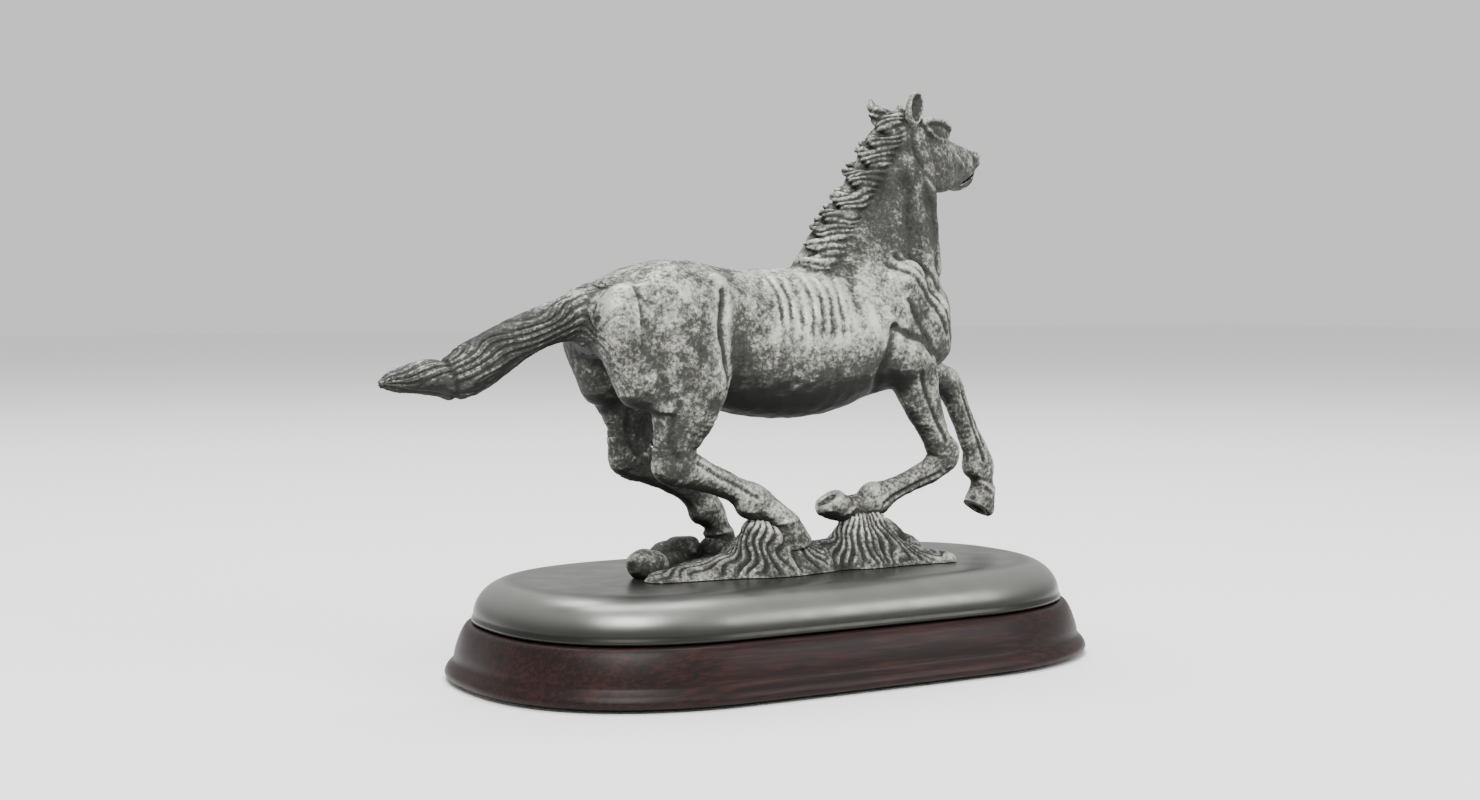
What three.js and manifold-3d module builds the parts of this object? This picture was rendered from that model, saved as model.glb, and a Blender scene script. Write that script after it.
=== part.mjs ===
// A galloping horse in sectional cast bronze, on a cast turf mound, a satin metal plinth cap and a moulded
// hardwood base. Millimetres: +X is the way the horse faces, +Y its left side, +Z up. The origin is the
// centre of the underside. The horse is cast solid, in seven sections that meet at flat joints on pins.
import * as THREE from "three";
import { mergeVertices } from "three/addons/utils/BufferGeometryUtils.js";
import Module from "manifold-3d";

const wasm = await Module();
wasm.setup();

// ---- Driving dimensions -----------------------------------------------------------------------------
const BASE_LENGTH = 250; // of the wood at its foot
const BASE_WIDTH = 139;
const END_REACH = 82; // how far each curved end reaches along the base
const END_POWER = 2.36; // 2 is an elliptical end, and higher is squarer
const FELT_THICKNESS = 1.2;
const FELT_SETBACK = 5;
const WOOD_HEIGHT = 19;
const CAP_HEIGHT = 15;
const CAP_SETBACK = 10.5; // from the wood's foot to the cap's side
const CAP_WALL = 2.5;
const CAP_EDGE_RADIUS = 10;
const CAP_DRAFT = 1.2; // lean of the cap's side, up to where its edge starts to round
const CORE_CLEARANCE = 0.5; // between the wood's raised core and the cap that drops over it

const JOINT_GAP = 0.3; // solder line between two castings
const FIT_GAP = 0.3; // around a pin, a spigot or a stud in its bore

const LEG_PIN_RADIUS = 1.5;
const LEG_PIN_LENGTH = 11;
const TAIL_PIN_RADIUS = 2;
const TAIL_PIN_LENGTH = 14;
const HOOF_PIN_RADIUS = 1.3;
const HOOF_PIN_LENGTH = 12;
const NECK_SPIGOT_RADIUS = 8;
const NECK_SPIGOT_LENGTH = 9;

const STUD_RADIUS = 2; // M4
const STUD_GRIP = 7; // thread inside the turf casting
const STUD_END = 1; // thread standing out of the nut
const NUT_FLATS = 7;
const NUT_HEIGHT = 3.2;
const WASHER_RADIUS = 4.5;
const WASHER_THICKNESS = 0.8;
const COUNTERBORE_RADIUS = 6;
const COUNTERBORE_DEPTH = 9;
const HOLE_CLEARANCE = 0.5; // around studs and screws where they pass through

const CAP_SCREW_RADIUS = 1.75;
const CAP_SCREW_HEAD_RADIUS = 3.5;
const CAP_SCREW_HEAD_HEIGHT = 2.4;
const CAP_SCREW_GRIP = 6; // thread inside the cap's boss
const CAP_SCREW_SETBACK = 41; // from the base's ends
const BOSS_RADIUS = 5;
const BOSS_LENGTH = 8;

const PLAN_POINTS = 40; // round the base's outline
const ROUND_SIDES = 16; // of pins, bores and studs
const LIMB_SIDES = 12; // round a leg or the tail
const TRUNK_SIDES = 20;

// ---- Heights that follow ----------------------------------------------------------------------------
const WOOD_BOTTOM = FELT_THICKNESS + FIT_GAP;
const WOOD_TOP = WOOD_BOTTOM + WOOD_HEIGHT;
const CAP_BOTTOM = WOOD_TOP + FIT_GAP;
const CAP_TOP = CAP_BOTTOM + CAP_HEIGHT;
const CAP_INSIDE_TOP = CAP_TOP - CAP_WALL;
const CAP_INSIDE_SETBACK = CAP_SETBACK + CAP_DRAFT + CAP_WALL;
const CORE_TOP = CAP_INSIDE_TOP - FIT_GAP;
const TURF_BOTTOM = CAP_TOP + FIT_GAP;
const COUNTERBORE_TOP = WOOD_BOTTOM + COUNTERBORE_DEPTH;

// ---- Materials --------------------------------------------------------------------------------------
const finish = (color, roughness, metalness) =>
  new THREE.MeshStandardMaterial({ color, roughness, metalness });
const antiqueBronze = finish(0x8f8f86, 0.5, 0.75);
const satinMetal = finish(0x9fa19b, 0.32, 0.9);
const mahogany = finish(0x3a2424, 0.45, 0);
const baize = finish(0x1d2a20, 0.95, 0);
const steel = finish(0xb4b6b8, 0.35, 1);

// ---- From three.js geometry to solids and back ------------------------------------------------------
function solid(geometry) {
  const bare = geometry.clone();
  bare.deleteAttribute("normal");
  bare.deleteAttribute("uv");
  const merged = mergeVertices(bare, 1e-4);
  return new wasm.Manifold(
    new wasm.Mesh({
      numProp: 3,
      vertProperties: new Float32Array(merged.attributes.position.array),
      triVerts: new Uint32Array(merged.index.array),
    }),
  );
}

function part(name, made, material) {
  const from = made.getMesh();
  const geometry = new THREE.BufferGeometry();
  geometry.setAttribute("position", new THREE.BufferAttribute(new Float32Array(from.vertProperties), 3));
  geometry.setIndex(new THREE.BufferAttribute(new Uint32Array(from.triVerts), 1));
  geometry.computeVertexNormals();
  const mesh = new THREE.Mesh(geometry, material);
  mesh.name = name;
  return mesh;
}

const union = (solids) => solids.reduce((all, next) => all.add(next));
const point = ([x, y, z]) => new THREE.Vector3(x, y, z);
const mirrored = ([x, y, z, ...sizes]) => [x, -y, z, ...sizes];

// A round bar from one point along a direction.
function bar(from, direction, length, radius, sides = ROUND_SIDES) {
  const along = point(direction).normalize();
  const geometry = new THREE.CylinderGeometry(radius, radius, length, sides);
  geometry.applyQuaternion(new THREE.Quaternion().setFromUnitVectors(new THREE.Vector3(0, 1, 0), along));
  const middle = point(from).addScaledVector(along, length / 2);
  return solid(geometry.translate(middle.x, middle.y, middle.z));
}

// Everything past a plane, moved along its normal.
function beyond({ at, normal }, offset = 0) {
  const reach = 2 * BASE_LENGTH;
  const out = point(normal).normalize();
  const geometry = new THREE.BoxGeometry(reach, reach, reach).translate(0, 0, reach / 2 + offset);
  geometry.applyQuaternion(new THREE.Quaternion().setFromUnitVectors(new THREE.Vector3(0, 0, 1), out));
  return solid(geometry.translate(...at));
}
const behind = ({ at, normal }, offset = 0) => beyond({ at, normal: normal.map((n) => -n) }, offset);

// A closed skin through elliptical stations [x, y, z, half width, half depth], flat at both ends. The width
// is taken across the body and the depth in the upright plane along it; grow moves the whole skin outwards.
function loft(stations, around, along, grow = 0) {
  const spine = new THREE.CatmullRomCurve3(stations.map(point), false, "centripetal");
  const sizes = new THREE.CatmullRomCurve3(
    stations.map(([, , , width, depth], i) => new THREE.Vector3(width, depth, i)),
    false,
    "catmullrom",
    0.4,
  );
  const geometry = new THREE.SphereGeometry(1, around, along);
  const place = geometry.attributes.position;
  for (let ring = 0; ring <= along; ring++) {
    const t = Math.min(Math.max((ring - 1) / (along - 2), 0), 1);
    const pole = ring === 0 || ring === along ? 0 : 1;
    const tangent = spine.getTangent(t);
    const overrun = t === 0 ? -grow : t === 1 ? grow : 0;
    const centre = spine.getPoint(t).addScaledVector(tangent, overrun);
    const side = new THREE.Vector3(0, 1, 0).addScaledVector(tangent, -tangent.y).normalize();
    const rise = new THREE.Vector3().crossVectors(tangent, side);
    const size = sizes.getPoint(t);
    for (let k = 0; k <= around; k++) {
      const turn = (2 * Math.PI * (k % around)) / around;
      const at = centre
        .clone()
        .addScaledVector(side, pole * (size.x + grow) * Math.cos(turn))
        .addScaledVector(rise, -pole * (size.y + grow) * Math.sin(turn));
      place.setXYZ(ring * (around + 1) + k, at.x, at.y, at.z);
    }
  }
  return solid(geometry);
}

function ellipsoid([x, y, z], [a, b, c], turn = [0, 0, 0], around = 14, along = 10) {
  const geometry = new THREE.SphereGeometry(1, around, along).scale(a, b, c);
  geometry.applyMatrix4(new THREE.Matrix4().makeRotationFromEuler(new THREE.Euler(...turn)));
  return solid(geometry.translate(x, y, z));
}

// ---- The base ---------------------------------------------------------------------------------------
// A point of the base's outline, drawn in from the wood's foot: straight sides with superelliptical ends.
function planPoint(turn, inset) {
  const [c, s] = [Math.cos(turn), Math.sin(turn)];
  const squared = (v) => Math.sign(v) * Math.abs(v) ** (2 / END_POWER);
  const x = Math.sign(c) * (BASE_LENGTH / 2 - END_REACH) + (END_REACH - inset) * squared(c);
  return [x, (BASE_WIDTH / 2 - inset) * squared(s)];
}

// A profile of [inset, z] points, run round the outline and closed flat at its first and last heights.
function moulded(profile) {
  const rings = [null, ...profile, null];
  const radii = rings.map((at) => (at ? 1 : 0));
  const heights = rings.map((at, i) => (at ?? rings[i === 0 ? 1 : i - 1])[1]);
  const geometry = new THREE.LatheGeometry(
    radii.map((radius, i) => new THREE.Vector2(radius, heights[i])),
    PLAN_POINTS,
  );
  const place = geometry.attributes.position;
  for (let k = 0; k <= PLAN_POINTS; k++) {
    const turn = (2 * Math.PI * ((k % PLAN_POINTS) + 0.5)) / PLAN_POINTS;
    rings.forEach((at, i) => {
      const [x, y] = at ? planPoint(turn, at[0]) : [0, 0];
      place.setXYZ(k * rings.length + i, x, y, heights[i]);
    });
  }
  return solid(geometry);
}

const prism = (inset, bottom, top) =>
  moulded([
    [inset, bottom],
    [inset, top],
  ]);

// Quarter-round points from a side up to a flat top.
function roundedEdge(inset, top, radius, steps) {
  return Array.from({ length: steps + 1 }, (_, i) => {
    const turn = (Math.PI / 2) * (i / steps);
    return [inset + radius * (1 - Math.cos(turn)), top - radius * (1 - Math.sin(turn))];
  });
}

const STUDS = [
  [-16, -4],
  [30, -9],
];
const CAP_SCREWS = [
  [CAP_SCREW_SETBACK - BASE_LENGTH / 2, 0],
  [BASE_LENGTH / 2 - CAP_SCREW_SETBACK, 0],
];

function woodBase() {
  const foot = [
    [0.9, 0],
    [0, 1.4],
    [1.2, 4.6],
    [3.2, 6.6],
    [4.6, WOOD_HEIGHT - 6.5],
    [6.4, WOOD_HEIGHT - 2.4],
    [9.4, WOOD_HEIGHT - 0.4],
    [11, WOOD_HEIGHT],
  ].map(([inset, z]) => [inset, WOOD_BOTTOM + z]);
  const coreInset = CAP_INSIDE_SETBACK + CORE_CLEARANCE;
  const core = moulded([
    [coreInset, WOOD_TOP - 1],
    ...roundedEdge(coreInset, CORE_TOP, CAP_EDGE_RADIUS - CAP_WALL, 2),
  ]);
  const bores = [...STUDS, ...CAP_SCREWS].flatMap(([x, y], i) => {
    const radius = i < STUDS.length ? STUD_RADIUS : CAP_SCREW_RADIUS;
    return [
      bar([x, y, WOOD_BOTTOM - 1], [0, 0, 1], COUNTERBORE_DEPTH + 1, COUNTERBORE_RADIUS),
      bar([x, y, WOOD_BOTTOM], [0, 0, 1], CORE_TOP + 1 - WOOD_BOTTOM, radius + HOLE_CLEARANCE),
    ];
  });
  const bossRooms = CAP_SCREWS.map(([x, y]) =>
    bar(
      [x, y, CAP_INSIDE_TOP - BOSS_LENGTH - FIT_GAP],
      [0, 0, 1],
      BOSS_LENGTH + 2,
      BOSS_RADIUS + CORE_CLEARANCE,
    ),
  );
  return moulded(foot).add(core).subtract(union([...bores, ...bossRooms]));
}

function plinthCap() {
  const outside = moulded([
    [CAP_SETBACK, CAP_BOTTOM],
    ...roundedEdge(CAP_SETBACK + CAP_DRAFT, CAP_TOP, CAP_EDGE_RADIUS, 4),
  ]);
  const inside = moulded([
    [CAP_INSIDE_SETBACK, CAP_BOTTOM - 1],
    ...roundedEdge(CAP_INSIDE_SETBACK, CAP_INSIDE_TOP, CAP_EDGE_RADIUS - CAP_WALL, 2),
  ]);
  const bosses = CAP_SCREWS.map(([x, y]) =>
    bar([x, y, CAP_INSIDE_TOP - BOSS_LENGTH], [0, 0, 1], BOSS_LENGTH + CAP_WALL / 2, BOSS_RADIUS),
  );
  const threads = CAP_SCREWS.map(([x, y]) =>
    bar(
      [x, y, CAP_INSIDE_TOP - BOSS_LENGTH - 1],
      [0, 0, 1],
      CAP_SCREW_GRIP + 1 + FIT_GAP,
      CAP_SCREW_RADIUS + FIT_GAP,
    ),
  );
  const studHoles = STUDS.map(([x, y]) =>
    bar([x, y, CAP_BOTTOM], [0, 0, 1], CAP_HEIGHT + 1, STUD_RADIUS + HOLE_CLEARANCE),
  );
  return outside
    .subtract(inside)
    .add(union(bosses))
    .subtract(union([...threads, ...studHoles]));
}

function feltPad() {
  return prism(FELT_SETBACK, 0, FELT_THICKNESS);
}

// ---- The horse's stations, with heights measured from the underside of its turf ---------------------
const TRUNK = [
  [-83, 0, 90.9, 9, 8],
  [-78, 0, 88.9, 18, 15],
  [-66, 0, 89.9, 24, 22],
  [-46, 0, 90.4, 26, 23.5],
  [-26, 0, 86.4, 24.5, 24],
  [-6, 0, 83.4, 26, 25.8],
  [12, 0, 82.4, 27, 27.5],
  [32, 0, 85.4, 26, 27],
  [50, 0, 88.9, 23, 25],
  [62, 0, 90.9, 20, 21],
  [71, 0, 91.4, 15.5, 16.5],
  [76.5, 0, 89.9, 8, 9],
];

const RIGHT_THIGH = [
  [-58, -11, 97.9, 10, 12],
  [-57, -15, 88.9, 12, 22],
  [-52, -17, 75.9, 11, 20],
  [-46, -17.5, 64.9, 9, 14.5],
];
const LEFT_THIGH = RIGHT_THIGH.map(([x, ...rest]) => mirrored([x - 4, ...rest]));

const RIGHT_HIND = [
  [-48, -17.5, 67.9, 8.5, 14],
  [-45, -17, 58.9, 7.2, 11],
  [-46.5, -15.5, 49.9, 5.5, 8.2],
  [-49, -14.5, 41.9, 5.2, 8.6],
  [-43, -14.5, 36.9, 4.6, 6],
  [-33, -15, 31.4, 3.8, 4.7],
  [-22, -15.5, 25.9, 3.8, 4.6],
  [-15, -16, 21.9, 4.4, 5.4],
  [-10, -16.5, 17.9, 3.9, 4.2],
];
const LEFT_HIND = [
  [-52, 17.5, 67.9, 8.5, 14],
  [-50, 17, 58.9, 7.2, 11],
  [-51.5, 15.5, 49.9, 5.5, 8.2],
  [-54, 14.5, 42.9, 5.2, 8.6],
  [-47.5, 14.5, 36.9, 4.6, 6],
  [-37.5, 14.5, 30.9, 3.8, 4.7],
  [-27, 14.5, 24.4, 3.8, 4.6],
  [-20.5, 14.5, 19.9, 4.4, 5.4],
  [-18, 14.5, 13.9, 3.9, 4.2],
];
const RIGHT_FORE = [
  [47, -14, 76.9, 7, 9],
  [51, -14.5, 67.9, 7, 8.8],
  [57, -14.5, 57.9, 6, 7],
  [63, -14, 45.9, 5, 5.4],
  [66, -14, 37.9, 4.9, 5.4],
  [60, -13.5, 33.4, 4, 4.8],
  [50, -13, 29.4, 3.5, 4.4],
  [40, -12.5, 25.4, 3.6, 4.6],
  [33, -12, 22.4, 4.4, 5.2],
  [27, -11.5, 20.9, 3.7, 4.2],
];
const LEFT_FORE = [
  [50, 13.5, 71.9, 6.5, 9],
  [62, 14, 70.9, 6.5, 8.5],
  [74, 14.5, 69.9, 5.6, 6.5],
  [84, 15, 68.4, 5, 5.6],
  [89, 15, 64.9, 4.8, 5.4],
  [93.5, 15, 56.9, 3.9, 4.6],
  [98.5, 15, 45.9, 3.6, 4.5],
  [103.5, 15, 34.9, 4.2, 5],
  [105, 15, 29.9, 4.4, 5],
  [106, 15, 23.9, 3.7, 4],
];

const NECK = [
  [42, 0, 99.9, 20, 32],
  [42, 0, 111.9, 16, 31],
  [46.5, 0.5, 123.9, 12, 25.5],
  [52, 1.5, 135.9, 9.5, 20.5],
  [58, 3.5, 147.9, 8.2, 16],
  [62.5, 6, 157.9, 7.5, 12],
];

const TAIL = [
  [-70, 0, 95.9, 6, 7],
  [-80, 0, 94.9, 6, 7.2],
  [-92, 0.5, 91.9, 6.2, 7.2],
  [-106, 1, 86.4, 6.8, 8],
  [-118, 1.5, 79.9, 7.4, 8.8],
  [-130, 2, 72.9, 7, 8.2],
  [-141, 2, 71.4, 5, 5.6],
  [-150, 2, 70.7, 3.4, 3.6],
  [-154, 2, 70.1, 1.8, 2],
];

// Joint planes between the castings: each normal points out of the trunk, along the limb.
const JOINTS = {
  neck: { at: [42, 0, 115.4], normal: [0, 0, 1] },
  tail: { at: [-85.5, 0, 93.7], normal: [-0.96, 0, -0.25] },
  rightHind: { at: [-45.3, -16.8, 57.4], normal: [-0.1, 0.15, -1] },
  leftHind: { at: [-50.3, 16.8, 57.4], normal: [-0.1, -0.15, -1] },
  rightFore: { at: [56, -14.5, 59.9], normal: [0.5, 0, -0.87] },
  leftFore: { at: [77, 14.6, 69.5], normal: [1, 0, -0.12] },
};

// Hooves: sole centre, the way that the sole faces, and the radius at the sole.
const HOOF_HEIGHT = 10;
const HOOF_TAPER = 0.72; // of its radius, from the sole to the coronet
const PASTERN_SHARE = 0.62; // of the sole's radius
const HOOVES = {
  rightHind: { at: [-3.5, -17.5, 10.7], facing: [0.1, 0, -1], radius: 6.4, ankle: [-8, -17, 16.9] },
  leftHind: { at: [-16, 14.5, 5.4], facing: [0.15, 0, -1], radius: 6.4, ankle: [-18, 14.5, 13.9] },
  rightFore: { at: [13.8, -11, 24.4], facing: [-0.82, 0, 0.42], radius: 6.3, ankle: [26, -11.5, 20.4] },
  leftFore: { at: [105.5, 15, 10.4], facing: [-0.5, 0, -0.87], radius: 6.3, ankle: [105.5, 15, 26.9] },
};

// The head has its own frame: its origin at the poll, +X to the muzzle, +Z out of the forehead.
const HEAD_PITCH = 0.16; // of the forehead and nose, below the horizontal
const HEAD_YAW = 0.4; // to the horse's left
const HEAD_TURN = new THREE.Euler(0, HEAD_PITCH, HEAD_YAW, "ZYX");
const POLL = [58, 5, 166.9];
function inHead([x, y, z, ...sizes]) {
  const at = new THREE.Vector3(x, y, z).applyEuler(HEAD_TURN).add(point(POLL));
  return [at.x, at.y, at.z, ...sizes];
}

function hoof({ at, facing, radius, ankle }, grow) {
  const out = point(facing).normalize();
  const height = HOOF_HEIGHT + 2 * grow;
  const geometry = new THREE.CylinderGeometry(radius + grow, radius * HOOF_TAPER + grow, height, LIMB_SIDES);
  geometry.applyQuaternion(new THREE.Quaternion().setFromUnitVectors(new THREE.Vector3(0, 1, 0), out));
  const middle = point(at).addScaledVector(out, -HOOF_HEIGHT / 2);
  const wall = solid(geometry.translate(middle.x, middle.y, middle.z));
  const reach = point(at).addScaledVector(out, -HOOF_HEIGHT * HOOF_TAPER).sub(point(ankle));
  const start = point(ankle).addScaledVector(reach.clone().normalize(), -grow);
  const thickness = radius * PASTERN_SHARE + grow;
  return wall.add(bar(start.toArray(), reach.toArray(), reach.length() + grow, thickness, LIMB_SIDES));
}

function leg(stations, foot, grow = 0) {
  return loft(stations, LIMB_SIDES, 16, grow).add(hoof(foot, grow));
}

const RIGHT_EAR = [
  [61.5, 1.5, 161.9, 2.6, 2.4],
  [62, 0.8, 167.9, 3, 2.4],
  [64, 1, 173.4, 2.6, 2],
  [65.3, 2, 177.9, 0.7, 0.7],
];
const LEFT_EAR = [
  [58.5, 9, 162.9, 2.6, 2.2],
  [56.5, 10, 168.4, 2.8, 2.2],
  [53.5, 11.3, 171.9, 2.2, 1.8],
  [50.5, 12, 174.3, 0.7, 0.7],
];

function head() {
  const skull = loft(
    [
      [-6, 0, -8, 6, 7.5],
      [2, 0, -9, 8, 10],
      [12, 0, -11, 9.2, 12.5],
      [22, 0, -11.5, 8.6, 12.2],
      [34, 0, -9.5, 6.2, 9.2],
      [46, 0, -8, 5.6, 7.4],
      [54, 0, -7.5, 6, 7.4],
      [58.5, 0, -8, 3.6, 4.4],
    ].map(inHead),
    16,
    12,
  );
  return union([skull, loft(RIGHT_EAR, 8, 7), loft(LEFT_EAR, 8, 7)]);
}

// Locks of the mane stand off the crest and sweep back: root on the crest, tip, and thickness.
const MANE_LOCKS = [
  [[49, 5, 162.9], [44.5, 6, 168.4], 4.4],
  [[45, 4, 154.9], [40.5, 5, 156.4], 4.6],
  [[41, 3, 147.9], [36.5, 4, 150.4], 4.8],
  [[37, 2, 140.9], [31, 3, 143.9], 5],
  [[32, 1.5, 133.9], [26.5, 2, 134.4], 5],
  [[27, 1, 126.9], [21.5, 1, 127.4], 5],
  [[21, 0, 120.4], [16, 0, 120.9], 5],
  [[16, 0, 114.9], [10, 0, 113.4], 4.6],
];

function mane() {
  return union(
    MANE_LOCKS.map(([root, tip, width]) => {
      const bend = root.map((r, i) => (r + tip[i]) / 2 + (i === 2 ? -1.2 : 0));
      const into = root.map((r, i) => r + (r - tip[i]) * 1.1);
      return loft(
        [
          [...into, width + 1.5, width + 1],
          [...root, width, width],
          [...bend, width * 0.72, width * 0.75],
          [...tip, 0.8, 0.8],
        ],
        6,
        6,
      );
    }),
  );
}

// ---- The turf ---------------------------------------------------------------------------------------
const TURF = { back: -64, front: 65, right: -27, left: 25, edge: 1.6 };
const TURF_SHOULDER = 7; // how far in from the rim a mound reaches its full height
const TURF_STRAIGHT = 30; // half of the stretch with its full width
const TURF_NARROWING = 0.38; // share of the width lost at each end
const HILL_FALL = 1.6; // how fast a mound falls away
// Mounds on the turf: [x, y, height, reach along, reach across].
const HILLS = [
  [-9, -17, 11, 20, 13],
  [-16, 12, 6.5, 16, 15],
  [30, -12, 17, 12, 11],
  [10, -12, 7, 24, 16],
  [-36, -12, 4.2, 24, 15],
  [48, -8, 3.4, 16, 18],
];
const ROCKS = [
  { at: [-57, -3, 4.9], size: [8.5, 6.5, 5.2], turn: [0.2, 0.15, 0.3] },
  { at: [-33, 17, 4.4], size: [12, 7, 7], turn: [0, -0.35, 0.2] },
  { at: [14, 18, 3.9], size: [13, 7, 7.5], turn: [0.1, 0.1, -0.2] },
  { at: [60, 12, 3.9], size: [9.5, 7, 6.8], turn: [0.1, 0.35, 0.1] },
];

function turfHeight(x, y) {
  const lift = HILLS.map(([hx, hy, height, along, across]) => {
    const away = ((x - hx) / along) ** 2 + ((y - hy) / across) ** 2;
    return height * Math.exp(-HILL_FALL * away);
  });
  const rim = Math.min(x - TURF.back, TURF.front - x, y - TURF.right, TURF.left - y);
  const shoulder = Math.min(1, Math.max(0, rim) / TURF_SHOULDER);
  return TURF.edge + lift.reduce((sum, h) => sum + h, 0) * Math.sqrt(shoulder);
}

// The block keeps a straight right edge, and its left edge comes in towards both ends.
function turfBlock() {
  const [long, wide] = [TURF.front - TURF.back, TURF.left - TURF.right];
  const geometry = new THREE.BoxGeometry(long, wide, 1, 24, 11, 1);
  const place = geometry.attributes.position;
  for (let i = 0; i < place.count; i++) {
    const x = place.getX(i) + (TURF.front + TURF.back) / 2;
    const towardsEnd = Math.max(0, Math.abs(x) - TURF_STRAIGHT) / (long / 2 - TURF_STRAIGHT);
    const taper = 1 - TURF_NARROWING * Math.min(1, towardsEnd) ** 1.5;
    const across = place.getY(i) / wide + 0.5;
    const y = TURF.right + across * wide * taper;
    const top = turfHeight(x, TURF.right + across * wide);
    place.setXYZ(i, x, y, place.getZ(i) > 0 ? top : 0);
  }
  return solid(geometry);
}

function turf(limbs, pinBores) {
  const rocks = ROCKS.map(({ at, size, turn }) => ellipsoid(at, size, turn, 10, 7));
  const above = beyond({ at: [0, 0, 0], normal: [0, 0, 1] });
  const studBores = STUDS.map(([x, y]) =>
    bar([x, y, -1], [0, 0, 1], STUD_GRIP + 1 + FIT_GAP, STUD_RADIUS + FIT_GAP),
  );
  return union([turfBlock(), ...rocks])
    .intersect(above)
    .subtract(union([...limbs, ...studBores, ...pinBores]));
}

// ---- Pins, studs and screws -------------------------------------------------------------------------
// A pin centred on a joint, and the bore that it sits in.
function pinOn({ at, normal }, radius, length) {
  const start = (reach) => point(at).addScaledVector(point(normal).normalize(), -reach / 2).toArray();
  return {
    pin: bar(start(length), normal, length, radius),
    bore: bar(start(length + 2 * FIT_GAP), normal, length + 2 * FIT_GAP, radius + FIT_GAP),
  };
}

function stud([x, y]) {
  const bottom = COUNTERBORE_TOP - WASHER_THICKNESS - NUT_HEIGHT - 3 * FIT_GAP - STUD_END;
  return bar([x, y, bottom], [0, 0, 1], TURF_BOTTOM + STUD_GRIP - bottom, STUD_RADIUS);
}

function washer([x, y]) {
  const bottom = COUNTERBORE_TOP - FIT_GAP - WASHER_THICKNESS;
  const disc = bar([x, y, bottom], [0, 0, 1], WASHER_THICKNESS, WASHER_RADIUS);
  const hole = bar([x, y, bottom - 1], [0, 0, 1], WASHER_THICKNESS + 2, STUD_RADIUS + FIT_GAP);
  return disc.subtract(hole);
}

function nut([x, y]) {
  const bottom = COUNTERBORE_TOP - 2 * FIT_GAP - WASHER_THICKNESS - NUT_HEIGHT;
  const corners = NUT_FLATS / Math.sqrt(3);
  const body = bar([x, y, bottom], [0, 0, 1], NUT_HEIGHT, corners, 6);
  return body.subtract(bar([x, y, bottom - 1], [0, 0, 1], NUT_HEIGHT + 2, STUD_RADIUS + FIT_GAP));
}

function capScrew([x, y]) {
  const seat = COUNTERBORE_TOP - FIT_GAP;
  const tip = CAP_INSIDE_TOP - BOSS_LENGTH + CAP_SCREW_GRIP;
  const under = seat - CAP_SCREW_HEAD_HEIGHT;
  const shank = bar([x, y, seat - 0.5], [0, 0, 1], tip - seat + 0.5, CAP_SCREW_RADIUS);
  const slot = new THREE.BoxGeometry(2 * CAP_SCREW_HEAD_RADIUS + 1, 1, 2).translate(x, y, under);
  return bar([x, y, under], [0, 0, 1], CAP_SCREW_HEAD_HEIGHT, CAP_SCREW_HEAD_RADIUS)
    .subtract(solid(slot))
    .add(shank);
}

// ---- The castings -----------------------------------------------------------------------------------
const LIMBS = {
  rightHind: leg(RIGHT_HIND, HOOVES.rightHind),
  leftHind: leg(LEFT_HIND, HOOVES.leftHind),
  rightFore: leg(RIGHT_FORE, HOOVES.rightFore),
  leftFore: leg(LEFT_FORE, HOOVES.leftFore),
  tail: loft(TAIL, LIMB_SIDES, 12),
  neck: union([loft(NECK, 16, 9), head(), mane()]),
};
const LIMB_NAMES = Object.keys(LIMBS);

function barrel(grow) {
  const thighs = [RIGHT_THIGH, LEFT_THIGH].map((thigh) => loft(thigh, LIMB_SIDES, 7, grow));
  return union([loft(TRUNK, TRUNK_SIDES, 16, grow), ...thighs]);
}
const spine = barrel(0);
const spineGrown = barrel(JOINT_GAP);
const pins = Object.fromEntries(
  LIMB_NAMES.filter((name) => name !== "neck").map((name) => {
    const tail = name === "tail";
    const [radius, length] = tail ? [TAIL_PIN_RADIUS, TAIL_PIN_LENGTH] : [LEG_PIN_RADIUS, LEG_PIN_LENGTH];
    return [name, pinOn(JOINTS[name], radius, length)];
  }),
);

// Hoof pins stand upright, half in the leg and half in the turf.
const HOOF_PIN_PLACES = {
  rightHind: [-4, -17.3, 11.4],
  leftHind: [-16.5, 14.5, 6.9],
  rightFore: [32, -12, 16.9],
};
const hoofPins = Object.fromEntries(
  Object.entries(HOOF_PIN_PLACES).map(([name, at]) => [
    name,
    pinOn({ at, normal: [0, 0, 1] }, HOOF_PIN_RADIUS, HOOF_PIN_LENGTH),
  ]),
);

const spigotDown = JOINTS.neck.normal.map((n) => -n);
const neckSpigot = bar(JOINTS.neck.at, spigotDown, NECK_SPIGOT_LENGTH, NECK_SPIGOT_RADIUS);
const neckSocket = bar(
  JOINTS.neck.at,
  spigotDown,
  NECK_SPIGOT_LENGTH + FIT_GAP,
  NECK_SPIGOT_RADIUS + FIT_GAP,
);

function casting(name) {
  const free = LIMBS[name].intersect(beyond(JOINTS[name], JOINT_GAP / 2));
  if (name === "neck") {
    return free.add(neckSpigot.add(bar(JOINTS.neck.at, JOINTS.neck.normal, 4, NECK_SPIGOT_RADIUS)));
  }
  const bores = [pins[name].bore, hoofPins[name]?.bore].filter(Boolean);
  return free.subtract(spineGrown).subtract(union(bores));
}

function trunkCasting() {
  const stumps = LIMB_NAMES.map((name) => LIMBS[name].intersect(behind(JOINTS[name], JOINT_GAP / 2)));
  const bores = Object.values(pins).map(({ bore }) => bore);
  const pastNeckJoint = beyond(JOINTS.neck, -JOINT_GAP / 2);
  return union([spine, ...stumps]).subtract(union([...bores, neckSocket, pastNeckJoint]));
}

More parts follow.
